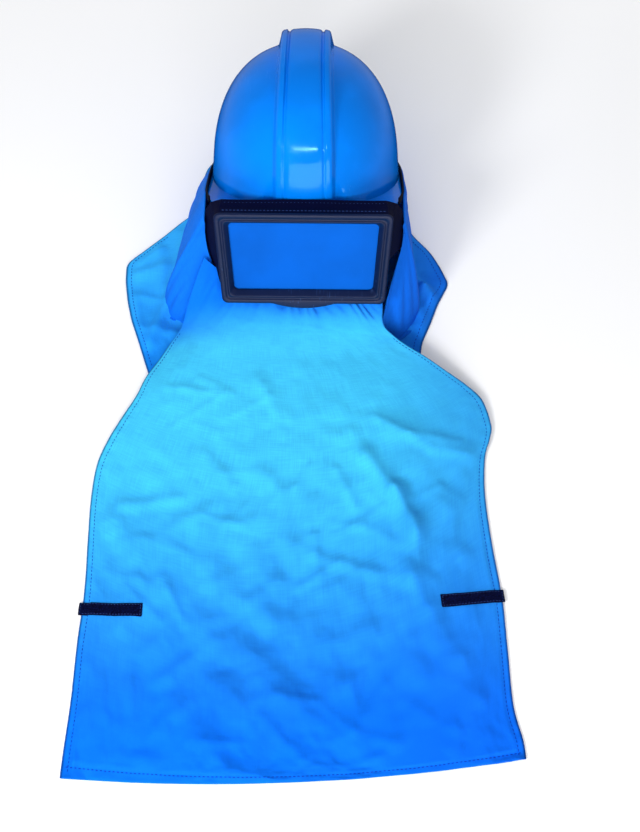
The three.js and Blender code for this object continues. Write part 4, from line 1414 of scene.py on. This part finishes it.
@dataclass
class Bib:
    """The front bib, from under the window frame down to the hem."""

    placing: Placing
    half_width: float = 230.0
    length: float = 540.0
    lift: float = 60.0
    top: float = 125.0
    thickness: float = 1.6
    tab_half: float = 35.0
    tab_drop: float = 6.0
    clearance: float = 4.5
    hem: tuple[float, float] = (11.0, 0.4)
    side_hem: tuple[float, float] = (4.5, 0.35)
    pucker: float = 0.35
    cut: Cut = Cut(460.0, 575.0, 226600.0)
    rows: tuple = (
        (-0.485, -0.052, 1.45, 0.007, 0.97, 0.383, 0.011, 0.97),
        (-0.535, -0.02, 1.05, 0.019, 0.92, 0.386, 0.028, 0.88),
        (-0.577, 0.004, 0.6, 0.033, 0.833, 0.384, 0.047, 0.783),
        (-0.599, 0.018, 0.3, 0.05, 0.7, 0.4, 0.059, 0.65),
        (-0.625, 0.037, 0.167, 0.072, 0.583, 0.445, 0.071, 0.533),
        (-0.667, 0.065, 0.108, 0.109, 0.517, 0.499, 0.086, 0.467),
        (-0.714, 0.102, 0.083, 0.157, 0.483, 0.602, 0.111, 0.383),
        (-0.774, 0.146, 0.077, 0.217, 0.45, 0.7, 0.139, 0.3),
        (-0.815, 0.193, 0.077, 0.278, 0.417, 0.797, 0.166, 0.2),
        (-0.879, 0.248, 0.077, 0.346, 0.367, 0.874, 0.198, 0.133),
        (-0.932, 0.298, 0.073, 0.413, 0.317, 0.913, 0.254, 0.083),
        (-0.975, 0.354, 0.037, 0.472, 0.267, 0.902, 0.289, 0.077),
        (-0.987, 0.433, 0.037, 0.537, 0.217, 0.877, 0.329, 0.037),
        (-0.982, 0.522, 0.037, 0.617, 0.167, 0.868, 0.413, 0.037),
        (-0.976, 0.597, 0.037, 0.698, 0.142, 0.889, 0.524, 0.037),
        (-0.976, 0.66, 0.037, 0.772, 0.125, 0.922, 0.636, 0.037),
        (-0.985, 0.741, 0.037, 0.843, 0.108, 0.933, 0.732, 0.037),
        (-0.987, 0.85, 0.037, 0.913, 0.093, 0.945, 0.85, 0.037),
        (-0.997, 0.941, 0.037, 0.972, 0.08, 0.979, 0.917, 0.037),
        (-1.001, 0.997, 0.037, 1.0, 0.037, 0.987, 0.952, 0.037),
    )
    folds: tuple = (
        (0.31, 0.346, 0.443, 0.424, 0.1, 0.05), (0.443, 0.424, 0.53, 0.51, 0.12, 0.05),
        (0.53, 0.51, 0.5, 0.59, 0.1, 0.06), (0.65, 0.44, 0.54, 0.5, 0.08, 0.05),
        (0.5, 0.6, 0.8, 0.835, 0.08, 0.06), (-0.585, 0.5, -0.59, 0.73, 0.06, 0.06),
        (-0.07, 0.84, 0.27, 0.94, 0.07, 0.06), (-0.9, 0.49, -0.62, 0.62, 0.06, 0.07),
        (0.43, 0.28, 0.83, 0.33, 0.07, 0.05), (-0.35, 0.62, 0.1, 0.75, 0.05, 0.07),
    )
    creases: tuple = (
        (82, -15, 117, -35, 1.6, 5), (117, -35, 143, -50, 2.0, 5), (143, -50, 200, -54, 1.6, 5),
        (117, -33, 174, -37, 1.0, 4), (42, -39, 68, -66, 0.8, 6), (68, -66, 99, -100, 1.6, 6),
        (99, -100, 119, -133, 2.2, 6), (119, -133, 125, -175, 2.2, 6), (120, -109, 151, -92, 1.6, 5),
        (151, -92, 176, -108, 1.2, 5), (34, -139, 68, -143, 0.9, 5), (68, -143, 115, -166, 1.6, 6),
        (-139, -164, -145, -205, 1.4, 6), (-145, -205, -156, -255, 1.4, 7), (-214, -137, -184, -136, 1.4, 5),
        (-217, -151, -187, -146, 1.0, 5), (-211, -193, -166, -206, 0.9, 5), (118, -202, 134, -234, 1.6, 6),
        (134, -234, 117, -265, 1.2, 6), (134, -234, 148, -307, 1.0, 7), (148, -307, 191, -332, 1.4, 8),
        (-41, -309, -21, -330, 1.2, 6), (-21, -330, 19, -334, 1.6, 6), (19, -334, 59, -366, 1.8, 6),
        (59, -366, 103, -378, 1.2, 7), (4, -139, -22, -209, 0.5, 2.2), (57, -180, 35, -226, 0.5, 2.2),
        (-107, -335, -144, -372, 0.9, 7),
    )

    def surface(self, across: Array, share: Array) -> Array:
        """Point by a share across from -1 to 1 and a share down from the window to the hem.

        The two edges and the middle come from the table. Height is mixed across by one less the
        cube of the share across, and folds, gathers, hems and edge puckers are added to it.

        Args:
            across: -1 at the left edge and 1 at the right one.
            share: 0 at the window and 1 at the hem.

        Returns:
            The points.
        """
        rows = np.moveaxis(smooth_rows(np.array(self.rows), share), -1, 0)
        left_x, left_down, left_lift, mid_down, mid_lift, right_x, right_down, right_lift = rows
        side, inner = (across + 1) / 2, 1 - np.abs(across)
        x = mix(left_x, right_x, side)
        down = mix(left_down, right_down, side) + (1 - across**2) * (mid_down - (left_down + right_down) / 2)
        lift = mix(mix(left_lift, right_lift, side), mid_lift, 1 - np.abs(across) ** 3)
        wide, long = x * self.half_width, self.top - down * self.length
        hold = np.clip(inner / 0.12, 0, 1) * np.clip((1 - share) / 0.06, 0, 1)
        z = lift * self.lift + hold * self.folded(wide, long, share)
        z = z + self.gathers(wide, share) * np.clip(inner / 0.1, 0, 1)
        edge = np.minimum(inner * self.half_width, (1 - share) * self.length * 0.9)
        hem = 0.0
        for (reach, rise), away in ((self.hem, (1 - share) * self.length), (self.side_hem, edge)):
            hem = hem + rise * (1 - ease(reach, reach + 1.5, away))
        pucker = self.pucker * np.sin(long / 2.4) * np.exp(-(((inner * self.half_width - 6) / 6) ** 2))
        z = z + hem * ease(0.25, 0.45, share) + pucker * ease(0.3, 0.5, share)
        tab = self.tab_drop * np.maximum(0, 1 - (wide / self.tab_half) ** 2)
        under = tab * np.clip(1 - (down - 0.02) / 0.05, 0, 1)
        z = z - under * math.cos(self.placing.recline)
        over = (np.abs(across) < 0.97) & (share < 0.97)
        z = np.maximum(z, np.where(over, self.clearance, self.thickness + 0.3))
        return np.stack([wide, long - under * math.sin(self.placing.recline), z], axis=-1)

    def folded(self, wide: Array, long: Array, share: Array) -> Array:
        """Height of the folds, the creases and the crumpling at places on the cloth.

        Args:
            wide: Places across.
            long: Places along.
            share: Share down from the window to the hem, from which the crumpling grows.

        Returns:
            The height added at each place.
        """
        folds = np.array(self.folds) * [*(self.half_width, -self.length) * 2, self.lift, self.half_width]
        folds[:, [1, 3]] += self.top
        tables = [folds, np.array(self.creases)]
        tables.append(scattered_folds(7, 120, (-230, 230), (-410, -70), 2.0))
        tables.append(scattered_folds(8, 45, (-200, 230), (-90, 90), 1.0))
        total = fold_field(wide, long, np.concatenate(tables))
        worn = ease(0.3, 0.75, share)
        total += (0.3 + 1.1 * worn) * wrinkle_field(wide, long, 11, 62)
        return total + (0.15 + 0.35 * worn) * wrinkle_field(wide, long, 12, 26)

    def gathers(self, wide: Array, share: Array) -> Array:
        """Fine folds that fan out from the window's lower edge and die away down the cloth.

        Args:
            wide: Places across.
            share: Share down from the window to the hem.

        Returns:
            The height added, two pairs of bent sines times bell curves down the cloth.
        """
        fan = wide / (1 + share * 2.2)
        waves = np.sin(fan / 3.6 + 1.3 * np.sin(fan / 17)) + 0.7 * np.sin(fan / 7.9 + 2)
        puckers = np.sin(fan / 1.6 + 2.1 * np.sin(fan / 9.3) + 0.8 * np.sin(share * 40))
        large = 2.0 * waves * np.exp(-((share / 0.15) ** 2))
        small = 1.7 * puckers * np.exp(-((share / 0.1) ** 2))
        return ease(0.01, 0.05, share) * (large + small)

    def build(self, material: Material) -> Piece:
        """The bib's wall, with its columns closer together at the sides.

        Args:
            material: The cloth's material.

        Returns:
            The cloth.
        """
        row = np.linspace(-1, 1, 161)
        across, share = np.meshgrid(row * (1.12 - 0.12 * row * row), self.steps(221))
        upper = self.surface(across, share)
        rows, cols = share.shape
        flat = np.meshgrid(np.linspace(0, 2 * self.half_width, cols), np.linspace(0, self.length, rows))
        body = Surface()
        body.wall(upper, upper - grid_normals(upper) * self.thickness, np.stack(flat, axis=-1))
        return dress(body.build("bib_cloth_piece", 60), material, "bib_cloth", "front_bib")

    def steps(self, count: int) -> Array:
        """Shares down the cloth, closer together near the window."""
        run = np.linspace(0, 1, count)
        return np.where(run < 0.25, run * 0.84, 0.21 + (run - 0.25) * 0.79 / 0.75)

    def hems(self, thread: Material) -> list[Piece]:
        """Stitches along both side hems and the bottom hem.

        Args:
            thread: The stitches' material.

        Returns:
            The three rows.
        """
        runs = []
        down = np.linspace(0.22, 0.985, 500)
        for side, name in ((-1, "bib_stitches_left"), (1, "bib_stitches_right")):
            path = self.surface(np.full(500, side * (1 - 6.5 / self.half_width)), down)
            runs.append((name, path))
        cross = np.linspace(-0.985, 0.985, 500)
        path = self.surface(cross, np.full(500, 1 - 13.5 / self.length))
        runs.append(("bib_stitches_hem", path))
        pieces = []
        for name, path in runs:
            path[:, 2] += 0.2
            stitches = stitch_run(name, path, upright(len(path)), 4.2, (2.7, 0.75, 0.6))
            pieces.append(dress(stitches, thread, "bib_cloth"))
        return pieces

    def height(self, x: Array, y: Array) -> Array:
        """Height of the cloth under places, weighted from the six nearest points of a fine grid.

        Args:
            x: Places across.
            y: Places along.

        Returns:
            The heights.
        """
        across, share = np.meshgrid(np.linspace(-1, 1, 161), np.linspace(0.3, 0.95, 221))
        grid = self.surface(across, share).reshape(-1, 3)
        away = np.hypot(grid[:, 0] - x.reshape(-1, 1), grid[:, 1] - y.reshape(-1, 1))
        near = np.argsort(away, axis=1)[:, :6]
        weight = 1 / (np.take_along_axis(away, near, axis=1) + 0.3)
        return ((grid[near, 2] * weight).sum(axis=1) / weight.sum(axis=1)).reshape(x.shape)


@dataclass
class Tape:
    """One short hook tape, sewn on the bib near its side."""

    bib: Bib
    name: str
    node: str
    outer: tuple[float, float]
    turn: float
    length: float = 66.0
    width: float = 13.5
    thickness: float = 1.6

    def build(self, material: Material, thread: Material) -> list[Piece]:
        """A thin closed strip that follows the cloth, and the stitches round its edge.

        Args:
            material: The tape's material.
            thread: The stitches' material.

        Returns:
            The tape and its stitches.
        """
        run = np.linspace(0, self.length, 45)
        across = np.linspace(-0.5, 0.5, 11) * self.width
        along, side = np.meshgrid(run, across)
        angle = math.radians(self.turn)
        x = self.outer[0] + math.cos(angle) * along - math.sin(angle) * side
        y = self.outer[1] + math.sin(angle) * along + math.cos(angle) * side
        z = self.bib.height(x, y) + 0.15
        soft = np.abs(side) / (self.width / 2)
        rise = self.thickness * (1 - 0.3 * soft**6)
        body = Surface()
        flat = np.stack([along, side], axis=-1)
        body.wall(np.stack([x, y, z + rise], axis=-1), np.stack([x, y, z], axis=-1), flat)
        tape = dress(body.build(self.name, 50), material, "hook_strip", self.node)
        upper = np.stack([x, y, z + rise + 0.1], axis=-1)
        path = np.concatenate([upper[1, 2:-2], upper[1:-1, -2], upper[-2, -3:1:-1], upper[-2:0:-1, 1]])
        stitches = stitch_run(f"{self.name}_stitches", path, upright(len(path)), 3.2, (2.0, 0.5, 0.5))
        return [tape, dress(stitches, thread, "hook_strip")]


@dataclass(frozen=True)
class Studio:
    """Plain floor, soft light and the camera."""

    eye: tuple[float, float, float] = (0.02898, -0.825, 1.42894)
    target: tuple[float, float, float] = (0.01965, 0.0, 0.0)
    focal: float = 63.77
    sky: float = 0.335
    lamps: tuple = (
        ("key", (-1.0, -1.2, 1.25), (0.0, 0.0, 0.0), 23.5, (0.5, 0.5), False),
        ("overhead", (0.2, 0.3, 2.2), (0.0, 0.0, 0.0), 4.0, (1.2, 1.2), False),
        ("rear_panel", (0.3, 2.2, 1.0), (0.3, 1.0, 0.0), 18.0, (1.6, 0.8), False),
        ("bar", (0.0, -1.5, 1.2), (0.0, 0.2, 0.2), 11.0, (1.2, 0.06), True),
        ("low_panel", (0.3, -2.0, 0.5), (0.1, 0.2, 0.2), 24.0, (2.2, 0.7), True),
    )

    def floor(self) -> None:
        """A wide plain floor, just under the cloth."""
        body = Surface()
        side = np.linspace(-4000, 4000, 9)
        x, y = np.meshgrid(side, side)
        body.grid(np.stack([x, y, np.full_like(x, -0.2)], axis=-1))
        floor = body.build("floor")
        if floor.data.polygons[0].normal.z < 0:
            floor.data.flip_normals()
        material, nodes, shader = new_material("floor_pale")
        solid = nodes.add("ShaderNodeTexCoord").outputs["Object"]
        tone = nodes.blend(nodes.noise(solid, 3.0, 2.0), linear(251, 251, 253), linear(254, 254, 254))
        nodes.put(shader, Base_Color=tone, Roughness=0.85)
        floor.data.materials.append(material)
        floor.visible_glossy = False

    def lamp(self, name: str, place: tuple, aim: tuple, power: float, size: tuple, shows: bool) -> None:
        """A soft rectangular lamp at a place, turned to a point.

        Args:
            name: The lamp's name.
            place: Where it stands, in metres.
            aim: What it points at.
            power: Its power in watts.
            size: Its width and height in metres.
            shows: Whether glossy surfaces mirror it.
        """
        data = bpy.data.lights.new(name, "AREA")
        data.energy = power
        data.shape = "RECTANGLE"
        data.size, data.size_y = size
        lamp = bpy.data.objects.new(name, data)
        lamp.location = place
        lamp.rotation_euler = look_turn(place, aim)
        lamp.visible_glossy = shows
        bpy.context.scene.collection.objects.link(lamp)

    def light(self) -> None:
        """Five soft lamps and a pale sky that is dark straight below, where glossy pieces mirror it."""
        bpy.context.scene.view_settings.view_transform = "Standard"
        world = bpy.data.worlds.new("studio")
        world.use_nodes = True
        nodes = Nodes(world.node_tree)
        level = nodes.part(nodes.add("ShaderNodeTexCoord").outputs["Generated"], 2)
        tone = nodes.blend(nodes.ramp(level, -0.7, -0.35), (0.01, 0.05, 0.2, 1.0), (0.97, 0.985, 1.0, 1.0))
        nodes.put(world.node_tree.nodes["Background"], Color=tone, Strength=self.sky)
        bpy.context.scene.world = world
        for lamp in self.lamps:
            self.lamp(*lamp)

    def camera(self) -> None:
        """The camera at the view's angle, with the lens that frames the whole hood."""
        data = bpy.data.cameras.new("view")
        data.lens = self.focal
        data.sensor_width = 36.0
        data.clip_start, data.clip_end = 0.05, 20.0
        camera = bpy.data.objects.new("view", data)
        camera.location = self.eye
        camera.rotation_euler = look_turn(self.eye, self.target)
        bpy.context.scene.collection.objects.link(camera)
        bpy.context.scene.camera = camera


def look_turn(place: tuple, aim: tuple) -> tuple[float, float, float]:
    """Turn that points -Z at the aim with X level: tilt from straight down, then turn about Z.

    Args:
        place: Where the object stands.
        aim: What it points at.

    Returns:
        The three angles in radians.
    """
    x, y, z = (b - a for a, b in zip(place, aim))
    return math.atan2(math.hypot(x, y), -z), 0.0, math.atan2(-x, y)


def main() -> None:
    """Build every sub-assembly in order, then the floor, the light and the camera."""
    logging.basicConfig(level=logging.INFO, format="%(name)s %(message)s")
    groups = Groups()
    palette = Palette()
    finish = {key: getattr(palette, key).material(groups) for key in palette.__dataclass_fields__}
    placing = Placing()
    shell = Shell(placing)
    shell.build(finish["shell"])
    band = RimBand(shell)
    band.build(finish["edging"])
    window = Window(placing)
    window.build(finish["frame"], finish["pane"])
    strip = Strip(window)
    strip.build(finish["strip"], finish["strip_thread"])
    cape = Cape()
    cape.build(finish["cape"], finish["thread"])
    Skirt(strip, band, cape).build(finish["skirt"])
    bib = Bib(placing)
    cloth = bib.build(finish["bib"])
    extras = bib.hems(finish["thread"])
    for side, outer, turn in (("left", (-228.0, -236.0), -2.0), ("right", (214.0, -216.5), 186.5)):
        tape = Tape(bib, f"tape_{side}", f"strap_{side}", outer, turn)
        extras += tape.build(finish["tape"], finish["strip_thread"])
    bib.cut.declare(cloth, "laid", ["cape_cloth"], extras)
    studio = Studio()
    studio.floor()
    studio.light()
    studio.camera()


if __name__ == "__main__":
    main()
